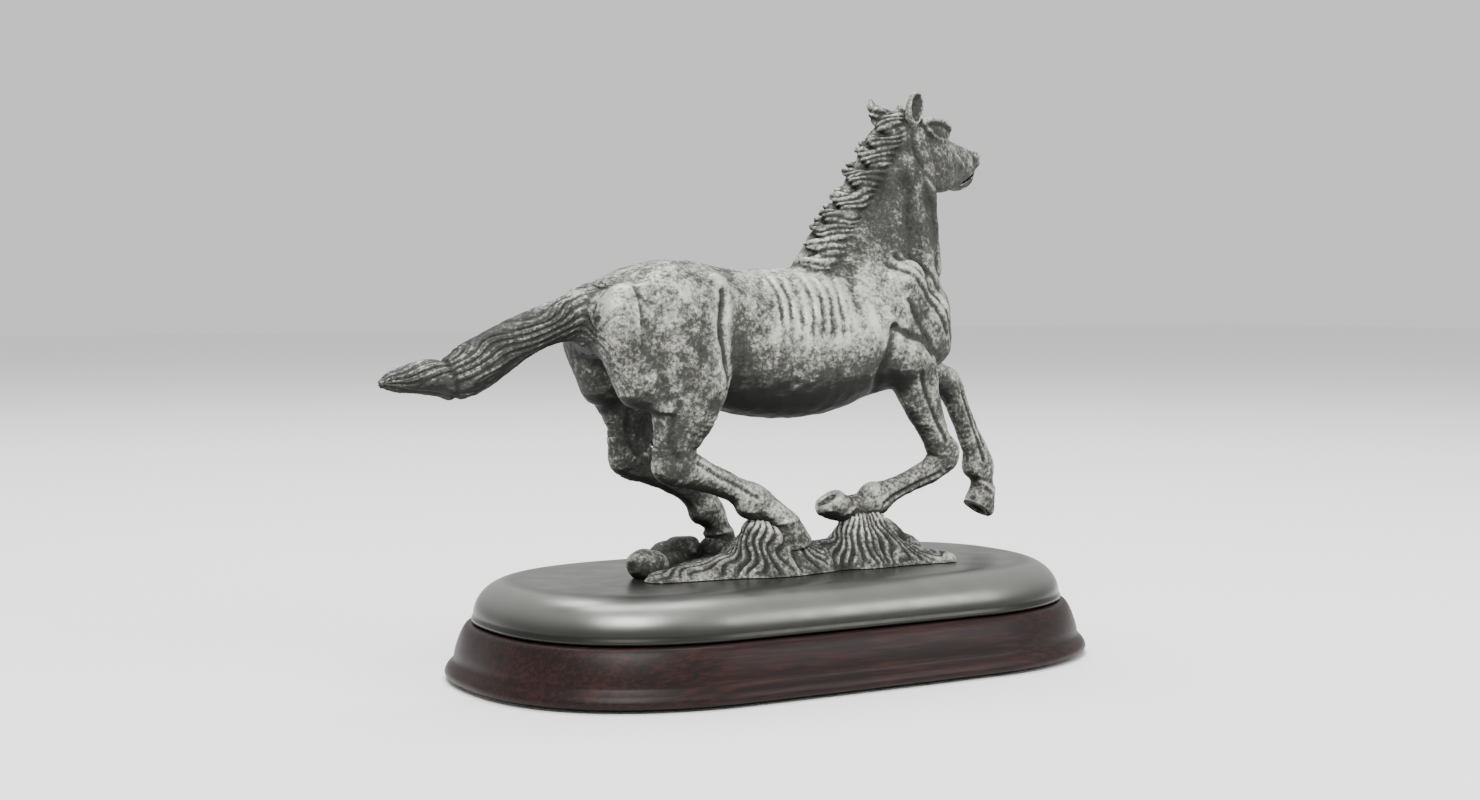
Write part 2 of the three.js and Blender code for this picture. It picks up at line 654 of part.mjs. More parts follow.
const FEET = {
  rightHind: RIGHT_HIND,
  leftHind: LEFT_HIND,
  rightFore: RIGHT_FORE,
};
function turfCasting() {
  const standing = Object.entries(FEET).map(([name, stations]) => leg(stations, HOOVES[name], JOINT_GAP));
  const bores = Object.values(hoofPins).map(({ bore }) => bore);
  return turf(standing, bores);
}

// ---- The assembly -----------------------------------------------------------------------------------
const NODE_OF = {
  rightHind: "right_hind_leg",
  leftHind: "left_hind_leg",
  rightFore: "right_fore_leg",
  leftFore: "left_fore_leg",
  tail: "tail",
  neck: "neck_and_head",
};

const statue = new THREE.Group();
statue.name = "bronze_horse_statue";
statue.add(
  part("felt_pad", feltPad(), baize),
  part("wood_base", woodBase(), mahogany),
  part("plinth_cap", plinthCap(), satinMetal),
);
STUDS.forEach((at, i) => {
  statue.add(part(`mounting_stud_${i + 1}`, stud(at), steel));
  statue.add(part(`washer_${i + 1}`, washer(at), steel));
  statue.add(part(`nut_${i + 1}`, nut(at), steel));
});
CAP_SCREWS.forEach((at, i) => statue.add(part(`cap_screw_${i + 1}`, capScrew(at), steel)));

const horse = new THREE.Group();
horse.name = "horse";
horse.position.z = TURF_BOTTOM;
horse.add(part("turf", turfCasting(), antiqueBronze), part("trunk", trunkCasting(), antiqueBronze));
for (const name of LIMB_NAMES) horse.add(part(NODE_OF[name], casting(name), antiqueBronze));
for (const [name, { pin }] of Object.entries(pins)) horse.add(part(`${NODE_OF[name]}_pin`, pin, steel));
for (const [name, { pin }] of Object.entries(hoofPins)) {
  horse.add(part(`${NODE_OF[name]}_hoof_pin`, pin, steel));
}
statue.add(horse);

export default statue;
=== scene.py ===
"""A galloping horse statue on its base: the sculpted castings, the base and the stage, as an add-on.

The horse is described in millimetres by rounded forms: tapering bodies along a line of elliptical
sections, eggs and bars. Each casting starts as beads that fill its forms, and its skin is then settled
on the smooth surface that blends them, worked over with grooves, ribs and hair, and parted at its joints.
"""

import copy
import math

import bmesh
import bpy
import numpy as np
from bpy.props import FloatProperty, FloatVectorProperty, PointerProperty
from mathutils import Euler, Matrix, Vector, noise


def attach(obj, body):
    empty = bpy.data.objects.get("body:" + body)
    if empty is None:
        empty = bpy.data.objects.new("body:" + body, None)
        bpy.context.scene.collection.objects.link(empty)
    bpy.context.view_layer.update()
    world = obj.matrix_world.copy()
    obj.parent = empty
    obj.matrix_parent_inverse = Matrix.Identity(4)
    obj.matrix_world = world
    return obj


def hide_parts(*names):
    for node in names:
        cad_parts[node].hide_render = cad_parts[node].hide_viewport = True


bl_info = {
    "name": "Galloping horse statue",
    "version": (1, 0, 0),
    "blender": (4, 5, 0),
    "location": "View3D > Sidebar > Statue",
    "description": "Sculpts a cast horse on a turf mound, its cap and its moulded wood base",
    "category": "Add Mesh",
}

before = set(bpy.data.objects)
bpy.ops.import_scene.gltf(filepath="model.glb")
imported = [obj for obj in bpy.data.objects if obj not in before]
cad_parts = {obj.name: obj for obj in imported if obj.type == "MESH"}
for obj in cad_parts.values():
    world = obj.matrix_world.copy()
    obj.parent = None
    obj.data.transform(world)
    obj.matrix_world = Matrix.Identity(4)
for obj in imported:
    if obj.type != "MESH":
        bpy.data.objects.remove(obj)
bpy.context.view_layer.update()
MM = 0.001
PARTING = 0.004  # mm, left at each joint between two castings
COARSE = 1.0
CASTING_SLOT = "antique_bronze"


# ---- Forms: the solid shapes that the horse is built from ------------------------------------------
END_BULGE = 0.6  # how far a body's ends round out, as a share of its half width
NEVER_ZERO = 1e-6
GROUP_BLEND = 0.4  # mm, the softness with which one group of forms meets the next
HOLLOW_MARGIN = 3  # mm round a hollow that the carving is worked out in
FADE = 9  # a form's pull on its neighbours ends this many softnesses away
MOST_PULL = 60


def spline(stations, step):
    """Stations [x, y, z, half width, half depth], filled in along a smooth curve."""
    gaps = np.linalg.norm(np.diff(stations[:, :3], axis=0), axis=1)
    at = np.concatenate([[0], np.cumsum(gaps)])
    slopes = np.gradient(stations, at, axis=0)
    count = max(8, int(at[-1] / step))
    s = np.linspace(0, at[-1], count)
    i = np.clip(np.searchsorted(at, s, side="right") - 1, 0, len(at) - 2)
    h = (at[i + 1] - at[i])[:, None]
    t = (s - at[i])[:, None] / h
    a = stations[i] * (2 * t**3 - 3 * t**2 + 1) + stations[i + 1] * (3 * t**2 - 2 * t**3)
    return a + slopes[i] * h * (t**3 - 2 * t**2 + t) + slopes[i + 1] * h * (t**3 - t**2)


class Body:
    """A tapering body along a curve, with elliptical sections: width across, depth up and along."""

    def __init__(self, *stations, step=1.5):
        self.path = spline(np.array(stations, float), step)
        centres = self.path[:, :3]
        along = np.gradient(centres, axis=0)
        self.spacing = np.linalg.norm(along, axis=1).mean()
        self.along = along / np.linalg.norm(along, axis=1)[:, None]
        across = np.array([0.0, 1.0, 0.0]) - self.along * self.along[:, 1:2]
        self.across = across / np.linalg.norm(across, axis=1)[:, None]
        self.up = np.cross(self.along, self.across)

    def locate(self, points):
        """Where the points lie along the body: place, section there, offset from it, nearest section."""
        centres = self.path[:, :3]
        away = (points**2).sum(1)[:, None] - 2 * points @ centres.T + (centres**2).sum(1)
        i = away.argmin(1)
        lead = ((points - centres[i]) * self.along[i]).sum(1) / self.spacing
        s = np.clip(i + lead, 0, len(centres) - 1)
        low = np.minimum(s.astype(int), len(centres) - 2)
        t = (s - low)[:, None]
        here = self.path[low] * (1 - t) + self.path[low + 1] * t
        off = points - here[:, :3]
        return s, here, off, i

    def distance(self, points):
        _, here, off, i = self.locate(points)
        u = (off * self.across[i]).sum(1)
        v = (off * self.up[i]).sum(1)
        past = (off * self.along[i]).sum(1)
        w, d = here[:, 3], here[:, 4]
        end = np.minimum(w, d) * END_BULGE
        k0 = np.sqrt((u / w) ** 2 + (v / d) ** 2 + (past / end) ** 2) + NEVER_ZERO
        k1 = np.sqrt((u / w**2) ** 2 + (v / d**2) ** 2 + (past / end**2) ** 2) + NEVER_ZERO
        return k0 * (k0 - 1) / k1

    def beads(self):
        for row, along, across, up in zip(self.path, self.along, self.across, self.up):
            turn = Matrix((across, up, along)).transposed().to_4x4()
            size = Matrix.Diagonal((row[3], row[4], min(row[3], row[4]) * END_BULGE, 1))
            yield Matrix.Translation(row[:3]) @ turn @ size

    def part(self, kept):
        """The stretch of the body that kept picks out."""
        made = copy.copy(self)
        made.path, made.along = self.path[kept], self.along[kept]
        made.across, made.up = self.across[kept], self.up[kept]
        return made

    def ball(self):
        centre = self.path[:, :3].mean(0)
        reach = np.linalg.norm(self.path[:, :3] - centre, axis=1) + self.path[:, 3:].max(1)
        return centre, reach.max()


class Egg:
    """An ellipsoid, turned by Euler angles in radians."""

    def __init__(self, centre, radii, turn=(0, 0, 0)):
        self.centre = np.array(centre, float)
        self.radii = np.array(radii, float)
        self.turn = Euler(turn).to_matrix() if not isinstance(turn, Matrix) else turn

    def distance(self, points):
        q = (points - self.centre) @ np.array(self.turn)
        k0 = np.linalg.norm(q / self.radii, axis=1) + NEVER_ZERO
        k1 = np.linalg.norm(q / self.radii**2, axis=1) + NEVER_ZERO
        return k0 * (k0 - 1) / k1

    def beads(self):
        yield Matrix.Translation(self.centre) @ self.turn.to_4x4() @ Matrix.Diagonal((*self.radii, 1))

    def ball(self):
        return self.centre, self.radii.max()


class Bar:
    """A bar with round ends, tapering from one radius to the other."""

    def __init__(self, start, end, first, last):
        self.start, self.end = np.array(start, float), np.array(end, float)
        self.first, self.last = first, last

    def distance(self, points):
        span = self.end - self.start
        h = np.clip((points - self.start) @ span / (span @ span), 0, 1)
        gap = np.linalg.norm(points - self.start - h[:, None] * span, axis=1)
        return gap - (self.first + h * (self.last - self.first))

    def beads(self):
        length = np.linalg.norm(self.end - self.start)
        count = max(2, int(length / max(0.6, 0.5 * min(self.first, self.last))))
        for t in np.linspace(0, 1, min(count, 9)):
            radius = self.first + t * (self.last - self.first)
            at = Matrix.Translation(self.start + t * (self.end - self.start))
            yield at @ Matrix.Scale(radius, 4)

    def ball(self):
        half = (self.end - self.start) / 2
        return self.start + half, np.linalg.norm(half) + max(self.first, self.last)


def both(*forms):
    """The forms, and their mirror images on the horse's left."""
    made = list(forms)
    for form in forms:
        if isinstance(form, Egg):
            flip = Matrix.Diagonal((1, -1, 1))
            made.append(Egg(form.centre * (1, -1, 1), form.radii, flip @ form.turn @ flip))
        elif isinstance(form, Bar):
            made.append(Bar(form.start * (1, -1, 1), form.end * (1, -1, 1), form.first, form.last))
    return made


def strand(points, first, last):
    """Bars end to end along a list of points, thinning towards the last."""
    radii = np.linspace(first, last, len(points))
    return [Bar(*ends) for ends in zip(points, points[1:], radii, radii[1:])]


def blended(points, forms, softness):
    """Signed distance to the forms run together, each giving way softly to the next."""
    total = np.full(len(points), 1e-30)
    for form in forms:
        centre, reach = form.ball()
        near = ((points - centre) ** 2).sum(1) < (reach + FADE * softness) ** 2
        if near.any():
            total[near] += np.exp(np.minimum(-form.distance(points[near]) / softness, MOST_PULL))
    return -softness * np.log(total)


class Skin:
    """Groups of forms, each with its own softness, run together, with hollows carved out."""

    def __init__(self, groups, hollows=()):
        self.groups, self.hollows = groups, hollows

    def distance(self, points):
        parts = np.array([blended(points, forms, soft) for forms, soft in self.groups])
        lowest = parts.min(0)
        made = lowest - GROUP_BLEND * np.log(np.exp(-(parts - lowest) / GROUP_BLEND).sum(0))
        for hollow in self.hollows:
            centre, reach = hollow.ball()
            near = ((points - centre) ** 2).sum(1) < (reach + HOLLOW_MARGIN) ** 2
            if near.any():
                made[near] = np.maximum(made[near], -hollow.distance(points[near]))
        return made


# ---- The horse's forms ------------------------------------------------------------------------------
TRUNK = Body(
    (-82, 0, 129, 7, 7), (-77, 0, 127.4, 14, 11), (-68, 0, 127.6, 20, 15.6), (-56, 0, 128.2, 24, 19.4),
    (-44, 0, 127.5, 24.5, 21.5), (-30, 0, 122.5, 22.5, 24.5), (-16, 0, 119.3, 24, 26.6),
    (0, 0, 118.2, 26, 27.6), (16, 0, 119.2, 26, 27.4), (30, 0, 122, 24.5, 25.6), (44, 0, 125, 22, 25),
    (56, 0, 127, 18.5, 24), (66, 0, 128, 13.5, 18), (72, 0, 128, 7.5, 12),
    step=2.5,
)
HAUNCH = both(
    Egg((-52, -12, 130.6), (21.5, 12.5, 14.6), (0, -0.26, 0)),
    Egg((-66, -15, 119), (12.5, 9.5, 22), (0, -0.42, 0)),
    Egg((-48, -17, 115), (14.5, 9.5, 21), (0, -0.1, 0)),
    Egg((-41, -18.5, 106.5), (9.5, 7, 10), (0, 0, 0)),
    Bar((-36.5, -17, 138.5), (-39, -19.5, 118), 4.2, 6.5),
    Bar((-74, -9, 130), (-66, -14, 104), 7.5, 7),
)
SHOULDER = both(
    Egg((42, -15.5, 132), (11, 6.5, 18), (0.12, 0.5, 0)),
    Egg((56, -14, 124), (10, 7, 14), (0.1, 0.62, 0)),
    Egg((46, -17.6, 112.5), (9.5, 6.8, 8), (0, 0.3, 0)),
    Egg((62, -9.5, 119), (9.5, 8, 10.5), (0, 0, 0)),
    Egg((66, -5, 126), (7, 6.5, 13), (0, 0.1, 0)),
    Bar((27, -9, 147), (46, -15, 140), 3.4, 3.4),
)
NECK = Body(
    (39, 0, 138, 16.5, 31.6), (42.6, 0, 147, 14, 29.4), (48.6, 0.3, 158, 11.2, 24.3),
    (54, 1.2, 170, 9.4, 18.8), (58.5, 3, 182, 8.4, 15), (60.5, 5.5, 193, 7.6, 12.2),
    (61.5, 6, 199, 6.6, 8.5),
    step=2.5,
)
NECK_MUSCLES = both(
    Bar((65, -2.2, 176), (67.5, -3, 146), 3.2, 4),
    Bar((55, -3.4, 186), (61, -9.6, 142), 3.6, 4),
    Bar((49, -3.4, 180), (44, -9.4, 148), 4, 5),
)

# The head has its own frame: origin at the poll, +X to the muzzle, +Z out of the forehead.
POLL = np.array((58.0, 5.0, 202.6))
HEAD_TURN = np.array(Matrix.Rotation(0.4, 3, "Z") @ Matrix.Rotation(0.16, 3, "Y"))


def head_at(x, y, z):
    return tuple(HEAD_TURN @ np.array((x, y, z), float) + POLL)


def head_body(*stations):
    return Body(*[(*head_at(x, y, z), w, d) for x, y, z, w, d in stations], step=1.2)


def head_egg(centre, radii, turn=(0, 0, 0)):
    inside = Matrix(HEAD_TURN.tolist()) @ Euler(turn).to_matrix()
    return Egg(head_at(*centre), radii, inside)


def head_bar(start, end, first, last):
    return Bar(head_at(*start), head_at(*end), first, last)


def flipped(at, side):
    return at[0], at[1] * side, at[2]


def head_eggs(centre, radii, turn=(0, 0, 0)):
    """The same egg on the right and the left of the head."""
    return [head_egg(flipped(centre, side), radii, turn) for side in (-1, 1)]


def head_bars(start, end, first, last):
    """The same bar on the right and the left of the head."""
    return [head_bar(flipped(start, side), flipped(end, side), first, last) for side in (-1, 1)]


SKULL = head_body(
    (-3, 0, -9, 6.6, 8), (4, 0, -9.6, 7.6, 10.4), (13, 0, -10, 7.8, 12), (22, 0, -10.4, 7.3, 12.4),
    (31, 0, -9.9, 6.9, 11.1), (40, 0, -9.0, 6.3, 9.6), (47, 0, -8.2, 5.8, 8.8), (52, 0, -7.6, 5.2, 7.9),
)
FACE = (
    head_eggs((23, 5.8, -12.6), (13, 4.2, 10.6))
    + [head_egg((17, 0, -1.2), (17, 6.4, 5.6))] + head_eggs((18, 5, 0.2), (11, 3, 3.2))
    + head_bars((27, 7, -5.4), (40, 6, -9), 1.5, 1.1)
)
MUZZLE = (
    head_eggs((53.6, 3.5, -3.4), (3.5, 2, 3.6), (0, 0, -0.3))
    + [head_egg((53.6, 0, -5.4), (3.6, 4.8, 4.2)), head_egg((46.5, 0, -14.2), (5.6, 3.8, 3.4))]
)

def lid(side, points, radius):
    """A fold of skin round an eye, through [x, z] points of the head."""
    return strand([head_at(x, side * (7.7 - 0.012 * (x - 16) ** 2), z) for x, z in points], radius, radius)


UPPER_LID = ((7.5, 1.2), (11, 2.6), (15, 3.5), (20, 4), (25, 3.9), (28, 3))
LOWER_LID = ((7.5, 0.8), (11, -1.5), (15, -3), (20, -3.5), (25, -2), (28, 1))
EYES = (
    lid(-1, UPPER_LID, 1.3) + lid(1, UPPER_LID, 1.3)
    + lid(-1, LOWER_LID, 0.75) + lid(1, LOWER_LID, 0.75)
    + head_eggs((18.5, 6.4, 0.2), (4.8, 1.9, 2.4))
)
HOLLOWS = (
    head_eggs((56.4, 5.8, -3.4), (2, 1.7, 1.5), (0, 0.5, 0))
    + [head_egg((48.6, 0, -12.6), (6.4, 7, 0.9), (0, -0.6, 0)), head_egg((40.5, 0, -19.8), (3, 7, 2.2))]
    + [Egg((62.6, -2.1, 207.6), (3.8, 2.5, 5.7), (0.1, 0.26, 0.5))]
    + [Egg((52.6, 13.4, 208), (1.7, 1.8, 3.8), (0, -0.75, 0))]
)
EARS = [
    Egg((62.4, 0.3, 207.4), (4.9, 2.7, 6.8), (0.1, 0.26, 0.5)),
    Bar((61.2, 1.6, 201), (62.2, 0.6, 206), 3.2, 3.2),
    *strand([(58.6, 9.5, 202), (55.6, 10.4, 204.4), (52.4, 11.2, 206), (50.6, 11.8, 208.2),
             (49.9, 12, 210.6)], 3.7, 0.9),
]
FORELOCK = (
    strand([(60, 6, 201), (59.2, 6, 205), (59.2, 5.6, 208.8)], 3, 0.6)
    + strand([(60, 6.5, 204), (66, 7.5, 204.4), (74, 10.5, 202.4)], 2.1, 0.8)
    + strand([(60, 4.5, 203), (66, 5, 203.6), (72, 8.5, 202)], 1.8, 0.7)
)

# Locks of the mane as seen from behind the right shoulder: root, tip, sag before the tip, and width.
MANE = (
    ((57, 202.6), (42.6, 204.2), 3.4, 4.2),
    ((56, 195.6), (41, 194.8), 3.6, 4.2),
    ((53, 190), (35.8, 191), 4.4, 4.2),
    ((48.5, 183), (30, 182.6), 4.8, 4.6),
    ((44, 176), (24.4, 173), 4.8, 4.8),
    ((38, 169), (19.6, 166.6), 4.2, 4.4),
    ((34.5, 163), (15.4, 161.4), 3.6, 4.2),
    ((31, 157.6), (12.8, 155), 2.6, 3.8),
    ((28.5, 151.4), (11, 148.6), 2.0, 3.4),
)
SEEN = 0.6  # how far a point shifts in +X for each unit in +Y, seen from behind the right shoulder
DRAPE_FROM, DRAPE_STEPS = 16, 33  # mm from the crest where the search for the neck's side starts
STRANDS = (-1.5, -0.5, 0.5, 1.5)
ROOT_DEPTH, ROOT_END = 1.7, 0.35  # mm that a strand's root lies in the neck, and where it is out


def crest_side(z):
    """The crest leans over to the left as it rises to the poll."""
    return 6.0 * np.clip((z - 158) / 44, 0, 1) ** 1.4


def draped(x, z, side):
    """A point on the neck's side, or on its crest where the neck isn't behind it."""
    level = float(crest_side(z))
    y = np.linspace(level + side * DRAPE_FROM, level, DRAPE_STEPS)
    line = np.stack([x + SEEN * y, y, np.full(DRAPE_STEPS, z)], 1)
    inside = blended(line, [NECK, *NECK_MUSCLES, *CREST], 1.6) < 0.8
    return tuple(line[inside.argmax() if inside.any() else -1])


def mane_lock(root, tip, sag, width, side):
    """Four strands that rise out of the neck apart, sag, and curl up to meet at the tip."""
    made = []
    root, tip = np.array(root), np.array(tip)
    along = np.linspace(0, 1, 10)
    radii = width * np.interp(along, (0, 0.3, 0.65, 1), (0.16, 0.27, 0.3, 0.13))
    for k in STRANDS:
        points = []
        for t in along:
            x, z = root + (tip - root) * t
            fall = -sag * math.sin(math.pi * min(1, t * 1.08)) * (0.45 + 0.75 * t)
            apart = k * width * 0.56 * (1 - t) ** 0.65
            x, y, z = draped(x + 0.5 * apart, z + fall + apart, side)
            points.append((x, y - side * ROOT_DEPTH * max(0, 1 - t / ROOT_END), z))
        made += [Bar(*ends) for ends in zip(points, points[1:], radii, radii[1:])]
    return made


def mane():
    made = []
    for root, tip, sag, width in MANE:
        made += mane_lock(root, tip, sag, width, -1)
        made += mane_lock((root[0] - 3, root[1] + 1), (tip[0] + 2.2, tip[1] + 2.6), sag, width, 1)
    return made


CREST = [Body(
    (20, 0, 141, 6, 9), (24, 0, 149, 5.5, 11.5), (28, 0, 157, 5, 11), (35.6, 0.6, 169, 4.6, 9.4),
    (43.4, 2.2, 181, 4.6, 8.6), (51, 4.6, 193, 4.8, 7.6), (57.5, 6, 200, 5, 5),
    step=2.5,
)]

RIGHT_HIND = [Body(
    (-54, -16.5, 110, 8, 12), (-49.5, -17.5, 101, 7.6, 13.6), (-48.8, -17.2, 95, 7, 13),
    (-50.4, -16.2, 88, 5.8, 10.2), (-51.4, -15.3, 82, 5, 8.3), (-49.6, -14.8, 77, 5, 8.2),
    (-43, -14.8, 73.4, 4.5, 6.2), (-34, -15.2, 69.8, 3.9, 5), (-26, -15.6, 66.2, 3.9, 4.8),
    (-19, -16, 62.4, 4.5, 6), (-13, -16.5, 58.4, 4.2, 5), (-8, -17, 54.5, 4.6, 5),
), Egg((-55.2, -14.6, 75.4), (4.2, 3.6, 4.6), (0, -0.5, 0)), Egg((-22, -15.8, 59.6), (3.4, 3.6, 2.8))]
LEFT_HIND = [Body(
    (-58, 16.5, 110, 8, 12), (-53, 17.5, 101, 7.4, 13), (-51.5, 17.2, 95, 6.8, 12.6),
    (-52, 16.2, 88, 5.6, 10.6), (-53.4, 15.3, 82, 5, 8.3), (-51.6, 14.8, 77, 5, 8.2),
    (-45.5, 14.5, 73, 4.5, 6), (-37, 14.5, 68.6, 3.9, 4.9), (-28, 14.5, 63, 3.9, 4.8),
    (-21, 14.5, 57, 4.5, 5.8), (-17.5, 14.5, 51.5, 4.2, 4.8), (-16, 14.5, 47, 4.6, 5),
), Egg((-57, 14.6, 76.4), (4.2, 3.6, 4.4), (0, -0.5, 0)), Egg((-24.6, 14.5, 55), (3.2, 3.6, 2.8))]
RIGHT_FORE = [Body(
    (50, -13.5, 114, 7, 10), (52, -14.2, 106, 7, 9.6), (54.8, -14.5, 98, 6.4, 8.4),
    (59, -14.5, 89, 5.4, 6.6), (63.2, -14.2, 81, 4.7, 5.6), (65.6, -13.8, 75, 5, 6),
    (61.5, -13.6, 70.4, 4.2, 5), (52, -13.1, 66.2, 3.5, 4.3), (43, -12.6, 62.6, 3.6, 4.5),
    (36, -12.2, 59.4, 4.4, 6), (29.5, -11.7, 57.4, 3.9, 4.5), (25, -11.4, 57, 4.2, 4.6),
), Egg((68.2, -13.8, 75.6), (3.6, 4.2, 5), (0, 0.3, 0)), Egg((33.2, -12, 62.6), (2.6, 3.2, 2.6))]
LEFT_FORE = [Body(
    (52, 12, 111, 7, 10), (62, 13, 108.5, 7, 9), (74, 14.4, 106, 5.8, 6.8), (84, 15, 103.6, 4.8, 5.6),
    (90.5, 15, 99, 4.7, 5.4), (94.5, 15, 92, 4, 4.9), (99.5, 15, 81.5, 3.7, 4.9),
    (104.5, 15, 71.5, 4.2, 5.6), (106.6, 15, 66, 4.5, 6), (107.4, 15, 60.6, 3.8, 4.6),
    (107.6, 15, 57, 4.4, 5),
), Egg((88.6, 15, 102.4), (4.6, 4.2, 4.2)), Egg((101.6, 15, 67), (2.6, 3, 3))]


def hoof(coronet, sole, facing, radius):
    """A hoof from its coronet to its sole, facing along facing: its forms, hollows and start form."""
    top, bottom, out = np.array(coronet), np.array(sole), np.array(facing) / np.linalg.norm(facing)
    middle = (top + bottom) / 2
    wall = Body(
        (*top, radius * 0.86, radius * 0.86),
        (*middle, radius * 0.95, radius * 1.02),
        (*bottom, radius, radius * 1.12),
        step=0.8,
    )
    level = Vector((0, 0, 1)).rotation_difference(Vector(out)).to_matrix()
    band = Egg(top, (radius * 0.95, radius * 0.95, 1.3), level)
    under = Egg(bottom + out * 9.4, (radius * 3, radius * 3, 9), level)
    cup = Egg(bottom + out * 0.5, (radius * 0.72, radius * 0.66, 1.6), level)
    start = Bar(top, bottom - out * radius * 0.7, radius * 0.8, radius * 0.8)
    return [wall, band], [under, cup], start


HOOVES = {
    "right_hind": hoof((-7.6, -17, 54.6), (-3, -17.6, 45.4), (0.15, 0, -1), 5.9),
    "left_hind": hoof((-16.4, 14.5, 48), (-14.6, 14.5, 40.6), (0.15, 0, -1), 5.9),
    "right_fore": hoof((22.4, -11.3, 56.6), (15.2, -11, 59.9), (-0.5, 0, 0.87), 5.6),
    "left_fore": hoof((107.6, 15, 58.4), (105.4, 15, 50.4), (-0.61, 0, -0.79), 5.9),
}

TAIL = Body(
    (-68, 0, 132, 6, 7), (-76, 0.2, 130.4, 6.2, 8), (-86, 0.5, 128, 6, 7.4), (-95, 0.8, 125.2, 6, 7),
    (-103, 1, 121.8, 6.4, 7.2), (-111, 1.4, 117.4, 7, 8), (-119, 1.8, 112.6, 7.4, 8.6),
    (-126, 2, 108.8, 7, 8), (-131, 2, 107.2, 6, 6.6),
    step=1.5,
)
TAIL_TIP = Body(
    (-124, 2, 107, 5, 5), (-131, 2.4, 108, 6, 6), (-139, 2.6, 108.6, 5.6, 5.6),
    (-146, 2.4, 107.8, 4.2, 4.2), (-151, 2.2, 107.2, 2.8, 2.8), (-153.4, 2, 106.6, 1.4, 1.4),
    step=1.5,
)

# ---- The turf ---------------------------------------------------------------------------------------
TURF_FLOOR = 36.1
TUFTS = {"hind": (-11.0, -13.0), "fore": (30.0, -10.0)}
TURF_GRASS = [
    Bar((-17.5, -15, 50.5), (-18, -14, 37), 5.6, 14),
    Bar((-3, -15.5, 40), (-2, -14, 35), 6.5, 14),
    Bar((-12, -15, 47), (-11, -14, 36), 6, 16),
    Bar((27, -11.5, 50.5), (27, -11, 36), 5.5, 15),
    Bar((34.5, -12, 51), (36, -11, 36), 5, 14),
    Bar((-18, 14, 40), (-18, 13, 34), 7, 12),
    Egg((-16, -2.6, 40), (8, 6.5, 6.6)),
    Bar((-32, -14, 36), (-50, -14, 33.5), 6.5, 4.5),
    Bar((-58, -16, 33), (4, -18, 34), 6, 7.5),
    Bar((4, -14, 37), (24, -13, 38), 7, 7),
    Bar((40, -14, 37), (60, -18, 34.6), 7.5, 4.4),
    Bar((24, -20, 35.6), (61, -25.4, 35.8), 4.4, 2),
    Bar((60, -24, 35.8), (64, -6, 35.8), 2.2, 2.4),
    Bar((2, -13, 40), (24, -12, 41), 4.6, 4.4),
    Egg((-8, 2, 34), (52, 21, 6)),
    Egg((36, 2, 34), (30, 19, 6.5)),
    Egg((2, -6, 33.5), (62, 21, 4.8)),
]
ROCKS = [
    Egg((-56.5, -4, 40), (9.4, 5.2, 5.8), (0, 0.16, 0.25)),
    Bar((-50, 1, 37.8), (-38, 8, 37.8), 4.4, 5),
    Egg((-37, 13.5, 40), (13.5, 7, 6.8), (0, -0.28, 0.25)),
    Egg((14, 17, 42.6), (11, 6, 5), (0, 0.06, -0.2)),
    Egg((57, 12, 42.6), (10, 6.6, 6.4), (0, 0.42, 0.2)),
    Egg((66, 10, 39), (7, 5.5, 3.6), (0, 0.5, 0.2)),
]
ROCK_HOLLOWS = [
    Egg((-68.4, -8.6, 40.2), (5, 5.4, 5.2), (0, 0, 0.25)),
    Egg((47.6, 8, 42), (4.4, 4.8, 4.6), (0, 0.2, 0.2)),
]


